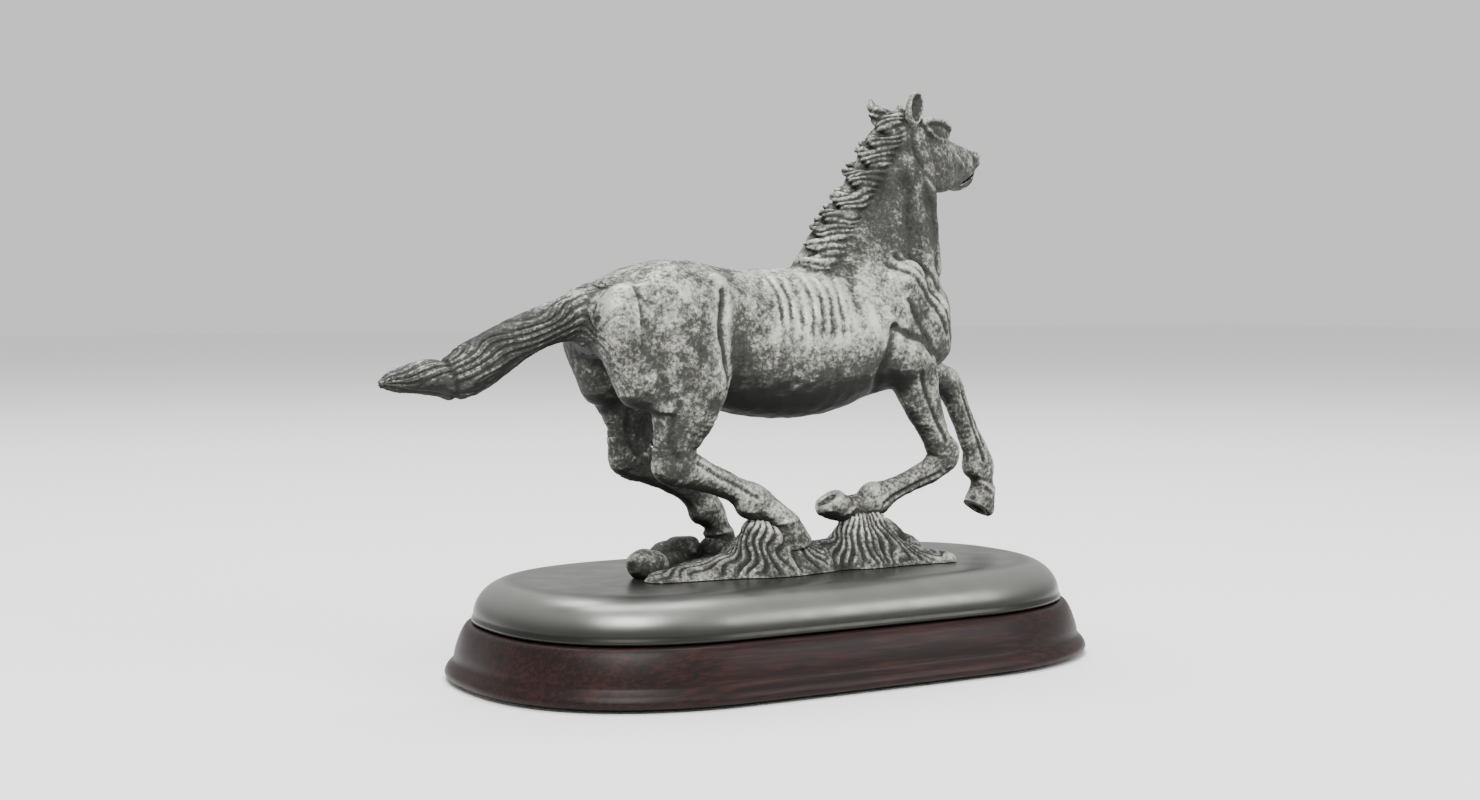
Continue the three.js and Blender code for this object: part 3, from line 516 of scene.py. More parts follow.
# ---- Reliefs: what is chased into a settled skin ----------------------------------------------------
# Grooves in side view: side (-1 right, 1 left, 0 both), width, depth, and points (x, z).
GROOVES = (
    (0, 1.7, 2.3, ((-36, 137), (-36.5, 134), (-38.4, 127), (-38.6, 121), (-37, 115), (-34.6, 109),
                   (-33, 103))),
    (0, 4.0, 0.7, ((-31, 124), (-30, 114), (-28, 106))),
    (0, 2.2, 2.0, ((37, 124), (35.2, 116), (33, 106), (36, 100))),
    (0, 1.5, 1.2, ((37, 124), (42, 122), (50, 119.5), (56, 114))),
    (0, 1.3, 1.0, ((39, 147), (46, 144), (55, 135), (64, 122))),
    (0, 1.3, 1.0, ((43, 150.5), (53, 143.5), (62, 132.5), (69, 119))),
    (0, 1.1, 0.8, ((53, 150), (61, 142.5), (68.5, 131), (72, 121))),
    (0, 1.4, 0.9, ((44, 134), (50, 124), (57, 115), (62, 111))),
    (0, 2.6, 0.8, ((24, 145), (20.5, 136), (22, 126))),
    (0, 3.2, 0.5, ((-70, 139), (-69, 128), (-65, 114), (-60, 104))),
    (0, 3.0, 0.5, ((-56, 137), (-54, 126), (-49, 117), (-42, 113))),
    (0, 1.6, 0.5, ((-66, 101), (-61, 99.8), (-56, 101), (-51, 104))),
    (0, 1.6, 1.0, ((-55, 98), (-56.3, 91), (-56, 83), (-53, 79))),
    (0, 2.2, -0.6, ((-43.5, 101), (-48, 91), (-51, 83))),
    (0, 0.9, 0.7, ((-44, 77), (-36, 72), (-27, 67.6), (-21, 64))),
    (-1, 0.9, 1.1, ((49.5, 107), (54, 97), (59, 88), (64, 81))),
    (-1, 0.8, 0.9, ((58.5, 108), (62.5, 98), (66, 88), (67.5, 82))),
    (-1, 0.8, 0.8, ((62, 69), (52, 65), (43, 61.5), (37, 58.4))),
    (1, 0.8, 0.9, ((94, 97), (98, 87.5), (102, 78), (104.5, 70))),
    (1, 0.8, 0.7, ((97, 96), (101.4, 86), (105.4, 76))),
    (-1, 1.8, 0.6, ((57.5, 181), (53.5, 172), (52, 163), (52, 149))),
    (0, 1.4, 0.6, ((62.5, 182), (66, 168), (67.6, 156), (67, 145))),
    (0, 1.4, 0.9, ((60.5, 196), (60.5, 190), (63.5, 183.5), (70, 178.4))),
    (1, 1.8, 0.6, ((60, 181), (56, 172), (54, 163), (54, 149))),
)
RIBS = {"from": -13.5, "to": 16.5, "pitch": 4.17, "lean": 0.09, "bottom": 121.0, "top": 141.0,
        "height": 0.34}
GROOVE_SHARE = 0.8  # of each groove's depth that is cut


def to_line(x, z, line):
    """Distance in side view to a line of points."""
    best = np.full(len(x), 1e9)
    for (x0, z0), (x1, z1) in zip(line, line[1:]):
        dx, dz = x1 - x0, z1 - z0
        t = np.clip(((x - x0) * dx + (z - z0) * dz) / (dx * dx + dz * dz), 0, 1)
        best = np.minimum(best, np.hypot(x - x0 - t * dx, z - z0 - t * dz))
    return best


def bump(x, low, high, edge):
    """1 between two limits, falling to 0 outside them over an edge."""
    rise = np.clip((x - low) / edge + 0.5, 0, 1)
    fall = np.clip((high - x) / edge + 0.5, 0, 1)
    return rise * rise * (3 - 2 * rise) * fall * fall * (3 - 2 * fall)


def grain(points, scale, height):
    """Uneven skin of a casting, at the scale given in millimetres."""
    step = 1.0 / scale
    return height * np.array([noise.noise(p) for p in (points * step).tolist()])


def chased(points, normals):
    """The grooves between muscles, the ribs, and the uneven skin."""
    x, y, z = points.T
    height = np.zeros(len(points))
    flank = np.clip(np.abs(normals[:, 1]) * 2.2 - 0.35, 0, 1)
    for side, width, depth, line in GROOVES:
        hit = np.exp(-((to_line(x, z, line) / width) ** 2))
        facing = flank if side == 0 else flank * (y * side > -2)
        height -= depth * hit * facing * GROOVE_SHARE
    r = RIBS
    sway = grain(points, 9.0, 0.25)
    phase = (x + 11 - r["lean"] * (z - r["top"])) / r["pitch"] + 0.5 + sway
    rib = np.cos(2 * np.pi * phase) * bump(x, r["from"], r["to"], 4) * bump(z, r["bottom"], r["top"], 13)
    height += r["height"] * rib * flank * (0.8 + grain(points, 6.0, 0.9))
    chest = bump(z, 112, 140, 8) * np.clip((x - 60) / 8, 0, 1)
    height -= 1.3 * chest * np.exp(-((y / 1.5) ** 2))
    height += grain(points, 5.0, 0.35) + grain(points, 1.5, 0.14)
    return height


def combed(points, body, count, depth, wave):
    """Ridges of hair that run along a body, swaying as they go."""
    s, here, off, i = body.locate(points)
    angle = np.arctan2((off * body.up[i]).sum(1), (off * body.across[i]).sum(1))
    run = s * body.spacing
    drift = grain(points * (0.45, 1, 1), 9.0, 1.6)
    phase = count * angle / (2 * np.pi) + wave * np.sin(run * 0.12 + 1.7 * np.sin(angle)) + drift
    fine = np.abs(np.sin(np.pi * phase)) ** 0.8 - 0.62
    finer = np.abs(np.sin(np.pi * (2.3 * phase + drift))) - 0.6
    return depth * (fine + 0.45 * finer)


def tail_hair(points, normals):
    x = points[:, 0]
    fade = np.clip((-72 - x) / 14, 0, 1)
    main = combed(points, TAIL, 16, 0.62, 0.3)
    tip = combed(points, TAIL_TIP, 10, 0.6, 0.3)
    past = bump(x, -200, -130, 3)
    seam = np.exp(-(((x + 129.5 + 0.35 * (points[:, 2] - 108)) / 1.1) ** 2))
    hair = (1 - past) * main + past * tip
    return fade * hair - 0.7 * seam + grain(points, 1.5, 0.12)


def grass(points, normals):
    """Blades that run down from under each hoof and spread at the foot."""
    x, y, z = points.T
    (hx, hy), (fx, fy) = TUFTS["hind"], TUFTS["fore"]
    hind = x < (hx + fx) / 2 + 0.25 * (y - hy)
    cx, cy = np.where(hind, hx, fx), np.where(hind, hy, fy)
    wide = np.where(hind, 0.55, 0.8)
    angle = np.arctan2((x - cx) * wide, -(y - cy) + 5.0)
    wander = grain(points * (1, 1, 0.6), 9.0, 1.0)
    phase = angle * 6.6 + 1.1 * wander + 0.3 * np.sin(z * 0.42 + x * 0.3)
    blades = np.abs(np.sin(np.pi * phase)) ** 0.75 - 0.6
    fine = np.abs(np.sin(np.pi * (2.3 * phase + wander))) - 0.6
    steep = np.clip(1.3 - np.abs(normals[:, 2]) * 0.6, 0.5, 1)
    front = np.clip((12 - y) / 10, 0.2, 1)
    rock = np.clip(blended(points, ROCKS, 1.0) / 1.5, 0, 1)
    low = np.clip((z - TURF_FLOOR - 0.4) / 2.5, 0, 1)
    return rock * low * front * steep * (1.25 * blades + 0.3 * fine) + (1 - rock) * (
        grain(points, 6.0, 0.9) + grain(points, 1.8, 0.14)) + grain(points, 1.2, 0.1)


def mane_hair(points, normals):
    """Uneven locks of the mane, hair where the tail begins, and the chased skin elsewhere."""
    x, y, z = points.T
    locks = np.clip(-blended(points, MANE_FORMS, 0.6) / 0.5 + 1.2, 0, 1)
    phase = (z - 0.12 * x + grain(points * (0.5, 1, 1), 7.0, 3.4)) / 2.25
    strands = 0.65 * (np.abs(np.sin(np.pi * phase)) ** 0.8 - 0.62)
    height = locks * (strands + grain(points, 2.0, 0.1)) + (1 - locks) * chased(points, normals)
    behind = x < -70
    if behind.any():
        height[behind] = tail_hair(points[behind], normals[behind])
    return height


MANE_FORMS = mane()
LOW_MANE = [form for form in MANE_FORMS if form.start[2] < 156]


# ---- From forms to meshes ---------------------------------------------------------------------------
START_VOXEL = 1.3  # mm, for the rough start of every casting
LONGEST_STEP, STEP_SHARE = 2.5, 0.9  # mm at most, and the share of the gap to the skin, in one round


def beaded(forms):
    """A closed start mesh: every form filled with overlapping balls."""
    ball = bpy.data.meshes.new("bead")
    shape = bmesh.new()
    bmesh.ops.create_icosphere(shape, subdivisions=2, radius=1)
    shape.to_mesh(ball)
    shape.clear()
    for form in forms:
        for place in form.beads():
            ball.transform(place)
            shape.from_mesh(ball)
            ball.transform(place.inverted())
    mesh = bpy.data.meshes.new("beads")
    shape.to_mesh(mesh)
    shape.free()
    bpy.data.meshes.remove(ball)
    return mesh


def revoxelled(mesh, size):
    """The mesh's outside, in even square faces of the size given."""
    holder = bpy.data.objects.new("voxels", mesh)
    bpy.context.collection.objects.link(holder)
    remesh = holder.modifiers.new("Voxels", "REMESH")
    remesh.mode = "VOXEL"
    remesh.voxel_size = size
    made = bpy.data.meshes.new_from_object(holder.evaluated_get(bpy.context.evaluated_depsgraph_get()))
    bpy.data.objects.remove(holder)
    bpy.data.meshes.remove(mesh)
    return made


def read(mesh, what="co"):
    """The mesh's points, or its normals, as rows."""
    flat = np.empty(len(mesh.vertices) * 3, np.float32)
    source = mesh.vertices if what == "co" else mesh.vertex_normals
    source.foreach_get("co" if what == "co" else "vector", flat)
    return flat.reshape(-1, 3).astype(float)


def write(mesh, points):
    mesh.vertices.foreach_set("co", points.astype(np.float32).ravel())
    mesh.update()


def evened(mesh, points, times):
    """Each point moved to the mean of its neighbours, again and again."""
    edges = np.empty(len(mesh.edges) * 2, np.int32)
    mesh.edges.foreach_get("vertices", edges)
    a, b = edges.reshape(-1, 2).T
    count = len(points)
    share = np.bincount(a, minlength=count) + np.bincount(b, minlength=count)
    for _ in range(times):
        points = np.stack([
            (np.bincount(a, points[b, k], count) + np.bincount(b, points[a, k], count)) / share
            for k in range(3)
        ], 1)
    return points


def settle(mesh, skin, rounds):
    """The mesh's points moved onto the skin along their normals."""
    for _ in range(rounds):
        points = read(mesh)
        gap = np.clip(skin.distance(points), -LONGEST_STEP, LONGEST_STEP)
        write(mesh, points - read(mesh, "normal") * (STEP_SHARE * gap)[:, None])


def sculpted(skin, start, voxel, relief):
    """A mesh of the skin, from its start forms, with its relief chased in."""
    mesh = revoxelled(beaded(start), START_VOXEL * COARSE)
    settle(mesh, skin, 4)
    mesh = revoxelled(mesh, voxel * COARSE)
    settle(mesh, skin, 2)
    write(mesh, evened(mesh, read(mesh), 2))
    settle(mesh, skin, 2)
    points, normals = read(mesh), read(mesh, "normal")
    write(mesh, points + normals * relief(points, normals)[:, None])
    mark_recesses_and_painted_shade(mesh)
    return mesh


def cut_away(shape, at, normal, reach):
    """The faces past a plane taken away, as far from the cut's middle as reach."""
    at, normal = Vector(at), Vector(normal).normalized()
    at = at - normal * PARTING
    near = [f for f in shape.faces if (f.calc_center_median() - at).length < reach]
    geom = list({v for f in near for v in f.verts}) + list({e for f in near for e in f.edges}) + near
    bmesh.ops.bisect_plane(shape, geom=geom, dist=1e-4, plane_co=at, plane_no=normal)
    past = [f for f in shape.faces
            if (f.calc_center_median() - at).length < reach + 1
            and (f.calc_center_median() - at).dot(normal) > 0]
    bmesh.ops.delete(shape, geom=past, context="FACES")


def parted(mesh, cuts):
    """Everything past each joint plane taken away near that joint, and the cut closed."""
    shape = bmesh.new()
    shape.from_mesh(mesh)
    for cut in cuts:
        cut_away(shape, *cut)
    keep_largest(shape)
    edges = [e for e in shape.edges if e.is_boundary]
    bmesh.ops.holes_fill(shape, edges=edges, sides=0)
    for edge in edges:
        edge.smooth = False
    bmesh.ops.recalc_face_normals(shape, faces=shape.faces)
    shape.to_mesh(mesh)
    shape.free()
    return mesh


def keep_largest(shape):
    """Only the largest island of faces stays."""
    shape.faces.ensure_lookup_table()
    seen, islands = set(), []
    for face in shape.faces:
        if face.index in seen:
            continue
        island, stack = [], [face]
        seen.add(face.index)
        while stack:
            here = stack.pop()
            island.append(here)
            for edge in here.edges:
                for other in edge.link_faces:
                    if other.index not in seen:
                        seen.add(other.index)
                        stack.append(other)
        islands.append(island)
    islands.sort(key=len)
    for island in islands[:-1]:
        bmesh.ops.delete(shape, geom=island, context="FACES")
    loose = [v for v in shape.verts if not v.link_faces]
    bmesh.ops.delete(shape, geom=loose, context="VERTS")


def painted_shade_and_tone(points):
    """How much darker each place is painted: the neck, head, tail and turf darker, with painted shade on
    the far hind leg and between the hind legs; the flanks and face lighter.
    """
    x, y, z = points.T
    neck = np.clip((z - 142) / 22, 0, 1) * np.clip((x - 10) / 12, 0, 1)
    tail = np.clip((-84 - x) / 16, 0, 1)
    # Painted shade on the far hind leg, between and under the hind legs.
    painted_shade_between_legs = np.clip((y + 2) / 8, 0, 1) * np.clip((128 - z) / 12, 0, 1) * np.clip((-14 - x) / 8, 0, 1)
    turf = np.clip((54 - z) / 6, 0, 1)
    flank = bump(x, -20, 44, 14) * bump(z, 114, 146, 14)
    face = np.clip((x - 60) / 6, 0, 1) * np.clip((z - 176) / 8, 0, 1)
    return 0.55 * neck + 0.75 * tail + 0.4 * painted_shade_between_legs + 0.5 * turf - 0.5 * flank - 0.5 * face


def mark_recesses_and_painted_shade(mesh):
    """Point attributes: how deep each point lies, for the patina in the hollows, and a painted shade that
    darkens faces turned down, with places painted darker or lighter.
    """
    points, normals = read(mesh), read(mesh, "normal")
    near = ((evened(mesh, points, 6) - points) * normals).sum(1)
    far = ((evened(mesh, points, 45) - points) * normals).sum(1)
    deep = 0.5 + 0.5 * np.tanh(near * 3.5 + far * 0.5)
    # Painted shade: darker the more a face turns down, near black under the belly.
    down = 0.25 - 0.8 * normals[:, 2] + 8 * np.clip(-normals[:, 2] - 0.42, 0, 1)
    down = np.clip(down, 0, 3) + painted_shade_and_tone(points)
    for name, values in (("recess", deep), ("under", down)):
        layer = mesh.attributes.new(name, "FLOAT", "POINT")
        layer.data.foreach_set("value", values.astype(np.float32))


def finished(name, mesh, replaces):
    """A casting in metres at the origin, riding on the statue, in place of its plain solid."""
    mesh.transform(Matrix.Scale(MM, 4))
    mesh.polygons.foreach_set("use_smooth", np.ones(len(mesh.polygons), bool))
    mesh.materials.clear()
    mesh.materials.append(statue_metal())
    return place(name, mesh, CASTING_SLOT, replaces)


def place(name, mesh, slot, replaces):
    piece = bpy.data.objects.new(name, mesh)
    mesh.name = name
    bpy.context.scene.collection.objects.link(piece)
    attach(piece, "root")
    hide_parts(replaces)
    return piece


# ---- The joints between the castings ----------------------------------------------------------------
# Where each limb leaves the trunk, the way that it leaves, and how far round the cut reaches.
JOINTS = {
    "neck": ((45, 0, 151.5), (0, 0, 1), 42),
    "tail": ((-85.5, 0, 129.8), (-0.96, 0, -0.25), 14),
    "right_hind": ((-50, -16.8, 93.5), (-0.1, 0.15, -1), 17),
    "left_hind": ((-53, 16.8, 93.5), (-0.1, -0.15, -1), 17),
    "right_fore": ((56, -14.5, 96), (0.5, 0, -0.87), 13),
    "left_fore": ((77, 14.6, 105.6), (1, 0, -0.12), 11),
}


def away(name):
    """The same joint, with everything on the trunk's side taken away."""
    at, normal, reach = JOINTS[name]
    return at, tuple(-n for n in normal), 400


LEGS = {
    "right_hind": RIGHT_HIND,
    "left_hind": LEFT_HIND,
    "right_fore": RIGHT_FORE,
    "left_fore": LEFT_FORE,
}
HEAD_FORMS = [SKULL, *FACE]
STUMP_LENGTH = 5  # mm past the joint


def stump(name, forms):
    """The first stretch of a limb's bodies, as far as just past its joint."""
    at, normal, _ = JOINTS[name]
    out = np.array(normal) / np.linalg.norm(normal)
    return [form.part((form.path[:, :3] - at) @ out < STUMP_LENGTH)
            for form in forms if isinstance(form, Body)]


def smooth_torso():
    """Trunk, neck, tail root and legs run together more softly than their own parts."""
    every = [TRUNK, *HAUNCH, *SHOULDER, NECK, *NECK_MUSCLES, TAIL]
    for forms in LEGS.values():
        every += forms
    return every


class Horse(Skin):
    """The whole horse's skin: one soft body, with its mane, face and hooves on it."""

    def __init__(self, *crisp, hollows=()):
        super().__init__([(smooth_torso(), 1.6), *crisp], hollows)


# ---- Sizes and colours in the sidebar ---------------------------------------------------------------
def metres(name, description, default):
    return FloatProperty(name=name, description=description, default=default, unit="LENGTH",
                         precision=5)


def colour(name, description, default):
    return FloatVectorProperty(name=name, description=description, default=default, size=3,
                               subtype="COLOR", min=0, max=1)


class StatueSettings(bpy.types.PropertyGroup):
    body_voxel: metres("Body voxel", "Size of the faces of the trunk's skin", 0.00075)
    limb_voxel: metres("Limb voxel", "Size of the faces of the legs' and tail's skin", 0.00045)
    head_voxel: metres("Head voxel", "Size of the faces of the neck's and head's skin", 0.00047)
    turf_voxel: metres("Turf voxel", "Size of the faces of the turf's skin", 0.00065)
    worn: colour("Worn metal", "Silvered metal where it is worn bright", (0.46, 0.46, 0.415))
    dull: colour("Dull metal", "Silvered metal between the bright spots and the dark", (0.19, 0.19, 0.17))
    fleck: colour("Flecks", "Dark flecks of patina on the open surfaces", (0.033, 0.033, 0.029))
    # The patina colour also paints the near-black shade under the belly and on faces turned down.
    patina: colour("Patina", "Dark patina left in the recesses", (0.008, 0.008, 0.0075))
    # The cap's own satin metal, on its rim and side.
    cap: colour("Cap metal", "Satin metal of the plinth cap's rubbed rim", (0.24, 0.24, 0.225))
    # Painted reflection: the cap's flat top painted darker than its rim.
    cap_top_painted_reflection: colour("Cap top", "Satin metal of the cap's flat top", (0.1, 0.1, 0.093))
    # Painted reflection of the dark wood, on the cap's foot.
    cap_foot_painted_reflection: colour("Cap foot", "Tarnished metal where the cap meets the wood", (0.03, 0.03, 0.027))
    wood: colour("Wood", "Stained wood between its streaks", (0.0085, 0.0047, 0.0045))
    streak: colour("Wood streak", "Reddish streaks along the grain", (0.026, 0.0092, 0.0082))
    felt: colour("Felt", "Felt under the base", (0.012, 0.03, 0.018))
    floor: colour("Floor", "Floor and backdrop of the stage", (0.93, 0.93, 0.93))


def settings():
    return bpy.context.scene.statue


# ---- Materials --------------------------------------------------------------------------------------
class Shader:
    """A new material's node tree, with short ways to add and link its nodes."""

    def __init__(self, name):
        self.material = bpy.data.materials.new(name)
        self.material.use_nodes = True
        self.nodes, self.links = self.material.node_tree.nodes, self.material.node_tree.links
        self.bsdf = self.nodes["Principled BSDF"]

    def node(self, kind, inputs=(), **choices):
        made = self.nodes.new(kind)
        for key, value in choices.items():
            setattr(made, key, value)
        for key, value in dict(inputs).items():
            if isinstance(value, bpy.types.NodeSocket):
                self.links.new(value, made.inputs[key])
            else:
                made.inputs[key].default_value = value
        return made

    def where(self, scale=(1, 1, 1)):
        """Object coordinates, stretched by scale."""
        at = self.node("ShaderNodeTexCoord").outputs["Object"]
        return self.node("ShaderNodeMapping", {"Vector": at, "Scale": scale}).outputs["Vector"]

    def noise(self, at, size, detail=3.0, rough=0.55, distortion=0.0):
        """Noise whose lumps are about size metres wide."""
        return self.node("ShaderNodeTexNoise", {
            "Vector": at, "Scale": 1 / size, "Detail": detail, "Roughness": rough, "Distortion": distortion,
        }).outputs["Fac"]

    def span(self, value, low, high, to_low=0.0, to_high=1.0):
        """value mapped smoothly from low..high to to_low..to_high."""
        made = self.node("ShaderNodeMapRange", {
            "Value": value, "From Min": low, "From Max": high, "To Min": to_low, "To Max": to_high,
        }, interpolation_type="SMOOTHSTEP")
        return made.outputs["Result"]

    def maths(self, how, *values):
        made = self.node("ShaderNodeMath", dict(enumerate(values)), operation=how)
        return made.outputs["Value"]

    def mix(self, share, a, b):
        made = self.node("ShaderNodeMix", data_type="RGBA")
        for socket, value in zip((made.inputs["Factor"], made.inputs[6], made.inputs[7]), (share, a, b)):
            if isinstance(value, bpy.types.NodeSocket):
                self.links.new(value, socket)
            else:
                socket.default_value = value if socket == made.inputs["Factor"] else (*value, 1)
        return made.outputs[2]

    def attribute(self, name):
        return self.node("ShaderNodeAttribute", attribute_name=name).outputs["Fac"]

    def bump(self, height, strength, distance):
        made = self.node("ShaderNodeBump", {"Height": height, "Strength": strength, "Distance": distance})
        self.links.new(made.outputs["Normal"], self.bsdf.inputs["Normal"])

    def give(self, **inputs):
        """Values or sockets for the surface's inputs, by name with _ for a space."""
        for key, value in inputs.items():
            socket = self.bsdf.inputs[key.replace("_", " ")]
            if isinstance(value, bpy.types.NodeSocket):
                self.links.new(value, socket)
            else:
                socket.default_value = (*value, 1) if isinstance(value, (tuple, list)) else value


def antique_silver():
    """Silvered bronze: bright on the worn high spots, flecked dark, near black in the recesses, and with a
    painted shade that darkens faces turned down to near black under the belly.
    """
    s, look = Shader("Antique silvered bronze"), settings()
    at = s.where()
    recess, under = s.attribute("recess"), s.attribute("under")
    patches = s.noise(at, 0.013, 3.0, 0.6)
    flecks = s.noise(at, 0.0013, 6.0, 0.7, 0.2)
    specks = s.noise(at, 0.0006, 2.0)
    low = s.maths("MULTIPLY_ADD", patches, 0.75, s.maths("MULTIPLY", flecks, 0.95))
    low = s.maths("MULTIPLY_ADD", specks, 0.25, low)
    low = s.maths("MULTIPLY_ADD", s.maths("SUBTRACT", recess, 0.5), 0.5, low)
    # Painted shade: the under attribute darkens faces turned down and the places painted darker.
    low = s.maths("MULTIPLY_ADD", under, 0.27, low)
    flecked = s.span(low, 0.84, 1.1)
    # dark: near-black patina in the recesses, and near-black painted shade under the belly.
    dark = s.span(low, 1.08, 1.4)
    dull = s.span(low, 0.66, 0.96)
    silver = s.mix(dull, tuple(look.worn), tuple(look.dull))
    silver = s.mix(flecked, silver, tuple(look.fleck))
    s.give(
        Base_Color=s.mix(dark, silver, tuple(look.patina)),
        Metallic=s.span(low, 0.8, 1.2, 0.35, 0.0),
        Roughness=s.span(low, 0.7, 1.2, 0.42, 0.65),
        Specular_IOR_Level=0.25,
    )
    s.bump(s.maths("ADD", flecks, s.maths("MULTIPLY", specks, 0.5)), 0.25, 0.0003)
    return s.material


def satin_metal():
    """Satin metal: bright on the rim, its flat top painted darker as a painted reflection, and its foot
    painted dark as a painted reflection of the dark wood.
    """
    s, look = Shader("Satin cap metal"), settings()
    cloud = s.noise(s.where(), 0.012, 2.0)
    fine = s.noise(s.where((1, 1, 12)), 0.004, 2.0)
    height = s.node("ShaderNodeSeparateXYZ", {"Vector": s.where()}).outputs["Z"]
    # Painted reflection of the dark wood: the cap's lower side painted dark.
    painted_wood_reflection = s.span(height, 0.0228, 0.0325, 1.0, 0.0)
    # Painted reflection: the flat top painted darker than the rim.
    painted_top_reflection = s.span(height, 0.0346, 0.0358)
    metal = s.mix(painted_top_reflection, tuple(look.cap), tuple(look.cap_top_painted_reflection))
    s.give(
        Base_Color=s.mix(painted_wood_reflection, metal, tuple(look.cap_foot_painted_reflection)),
        Metallic=0.9,
        Roughness=s.span(cloud, 0.3, 0.7, 0.3, 0.37),
    )
    s.bump(fine, 0.03, 0.0001)
    return s.material


def stained_wood():
    """Dark stained wood with reddish streaks along the base, under a satin lacquer."""
    s, look = Shader("Stained wood"), settings()
    fibres = s.noise(s.where((0.06, 1, 1)), 0.0011, 5.0, 0.6, 0.3)
    broad = s.noise(s.where((0.12, 1, 1)), 0.006, 3.0)
    streaks = s.span(s.maths("MULTIPLY_ADD", fibres, 0.7, s.maths("MULTIPLY", broad, 0.3)), 0.42, 0.66)
    s.give(
        Base_Color=s.mix(streaks, tuple(look.wood), tuple(look.streak)),
        Roughness=0.42,
        Specular_IOR_Level=0.16,
    )
    s.bump(fibres, 0.12, 0.0001)
    return s.material


def green_felt():
    s, look = Shader("Felt"), settings()
    s.give(Base_Color=tuple(look.felt), Roughness=0.95, Sheen_Weight=0.4)
    s.bump(s.noise(s.where(), 0.0006, 2.0), 0.5, 0.0004)
    return s.material


def plated_steel():
    s = Shader("Zinc plated steel")
    s.give(
        Base_Color=(0.6, 0.61, 0.63),
        Metallic=1.0,
        Roughness=s.span(s.noise(s.where(), 0.002, 2.0), 0.3, 0.7, 0.28, 0.4),
    )
    return s.material


def statue_metal():
    return bpy.data.materials.get("Antique silvered bronze") or antique_silver()


# ---- The operators: one for each piece or group, and one for the stage ------------------------------
class Build(bpy.types.Operator):
    """Base of the operators: build() makes the pieces, and a failure stops the script"""
    bl_options = {"REGISTER", "UNDO"}

    def execute(self, context):
        self.build()
        return {"FINISHED"}


class STATUE_OT_trunk(Build):
    """Trunk of the horse, with a stump at each joint"""
    bl_idname = "statue.trunk"
    bl_label = "Trunk"

    def build(self):
        stumps = [form for name in LEGS for form in stump(name, LEGS[name])]
        stumps += stump("neck", [NECK]) + stump("tail", [TAIL])
        start = [TRUNK, *HAUNCH, *SHOULDER, *stumps, *CREST, *LOW_MANE]
        mesh = sculpted(Horse((CREST + MANE_FORMS, 0.35)), start, settings().body_voxel / MM, mane_hair)
        parted(mesh, JOINTS.values())
        finished("Trunk", mesh, "trunk")


class STATUE_OT_head(Build):
    """Neck, head and mane, cast in one"""
    bl_idname = "statue.head"
    bl_label = "Neck and head"

    def build(self):
        groups = [
            (CREST + MANE_FORMS, 0.35),
            (HEAD_FORMS, 0.8),
            (MUZZLE + EYES, 0.35),
            (EARS + FORELOCK, 0.5),
        ]
        skin = Horse(*groups, hollows=HOLLOWS)
        start = [NECK, *NECK_MUSCLES, *CREST, *MANE_FORMS, *HEAD_FORMS, *MUZZLE, *EYES, *EARS, *FORELOCK]
        mesh = sculpted(skin, start, settings().head_voxel / MM, mane_hair)
        parted(mesh, [away("neck")])
        finished("Neck_and_head", mesh, "neck_and_head")


class STATUE_OT_legs(Build):
    """Four legs with their hooves"""
    bl_idname = "statue.legs"
    bl_label = "Legs"

    def build(self):
        for name, forms in LEGS.items():
            wall, carved, core = HOOVES[name]
            skin = Horse((wall, 0.4), hollows=carved)
            mesh = sculpted(skin, [*forms, core], settings().limb_voxel / MM, chased)
            parted(mesh, [away(name)])
            finished(name.capitalize() + "_leg", mesh, name + "_leg")


class STATUE_OT_tail(Build):
    """Tail streaming out behind"""
    bl_idname = "statue.tail"
    bl_label = "Tail"

    def build(self):
        skin = Horse(([TAIL_TIP], 0.5))
        mesh = sculpted(skin, [TAIL, TAIL_TIP], settings().limb_voxel / MM, tail_hair)
        parted(mesh, [away("tail")])
        finished("Tail", mesh, "tail")


class STATUE_OT_turf(Build):
    """Mound of cast grass and rocks"""
    bl_idname = "statue.turf"
    bl_label = "Turf"

    def build(self):
        skin = Skin([(TURF_GRASS, 1.6), (ROCKS, 0.5)], ROCK_HOLLOWS)
        mesh = sculpted(skin, TURF_GRASS + ROCKS, settings().turf_voxel / MM, grass)
        parted(mesh, [((0, 0, TURF_FLOOR), (0, 0, -1), 400)])
        finished("Turf", mesh, "turf")


# The base's outline in mm: straight sides, and rounded ends a little squarer than half ellipses.
HALF_STRAIGHT, END_LENGTH, HALF_WIDTH = 43, 82, 69.5
ROUNDING, STRAIGHT_REACH, OUTLINE_POINTS = 2 / 2.36, 6, 160

# Profiles from the bottom up: inset from the outline, and height.
MOULDING = (
    (3.5, 1.5), (1.3, 1.5), (0.5, 1.8), (0.15, 2.4), (0.0, 3.1), (0.25, 4.0), (0.9, 5.2), (1.5, 5.9),
    (2.7, 7.2), (3.1, 8.0), (3.3, 9.6), (3.9, 12), (4.9, 15), (6.0, 17.6), (6.8, 18.9), (7.3, 19.5),
    (7.7, 19.85), (8.4, 20.1), (10, 20.4), (12.7, 20.5),
)
PAD = ((5.1, 0.0), (5.0, 0.1), (5.0, 1.1), (5.1, 1.2))
CAP_INSET, CAP_TOP, CAP_ROUND_HEIGHT, CAP_ROUND_WIDTH, CAP_DRAFT, CAP_STEPS = 9.3, 35.8, 13.0, 15.0, 0.5, 18


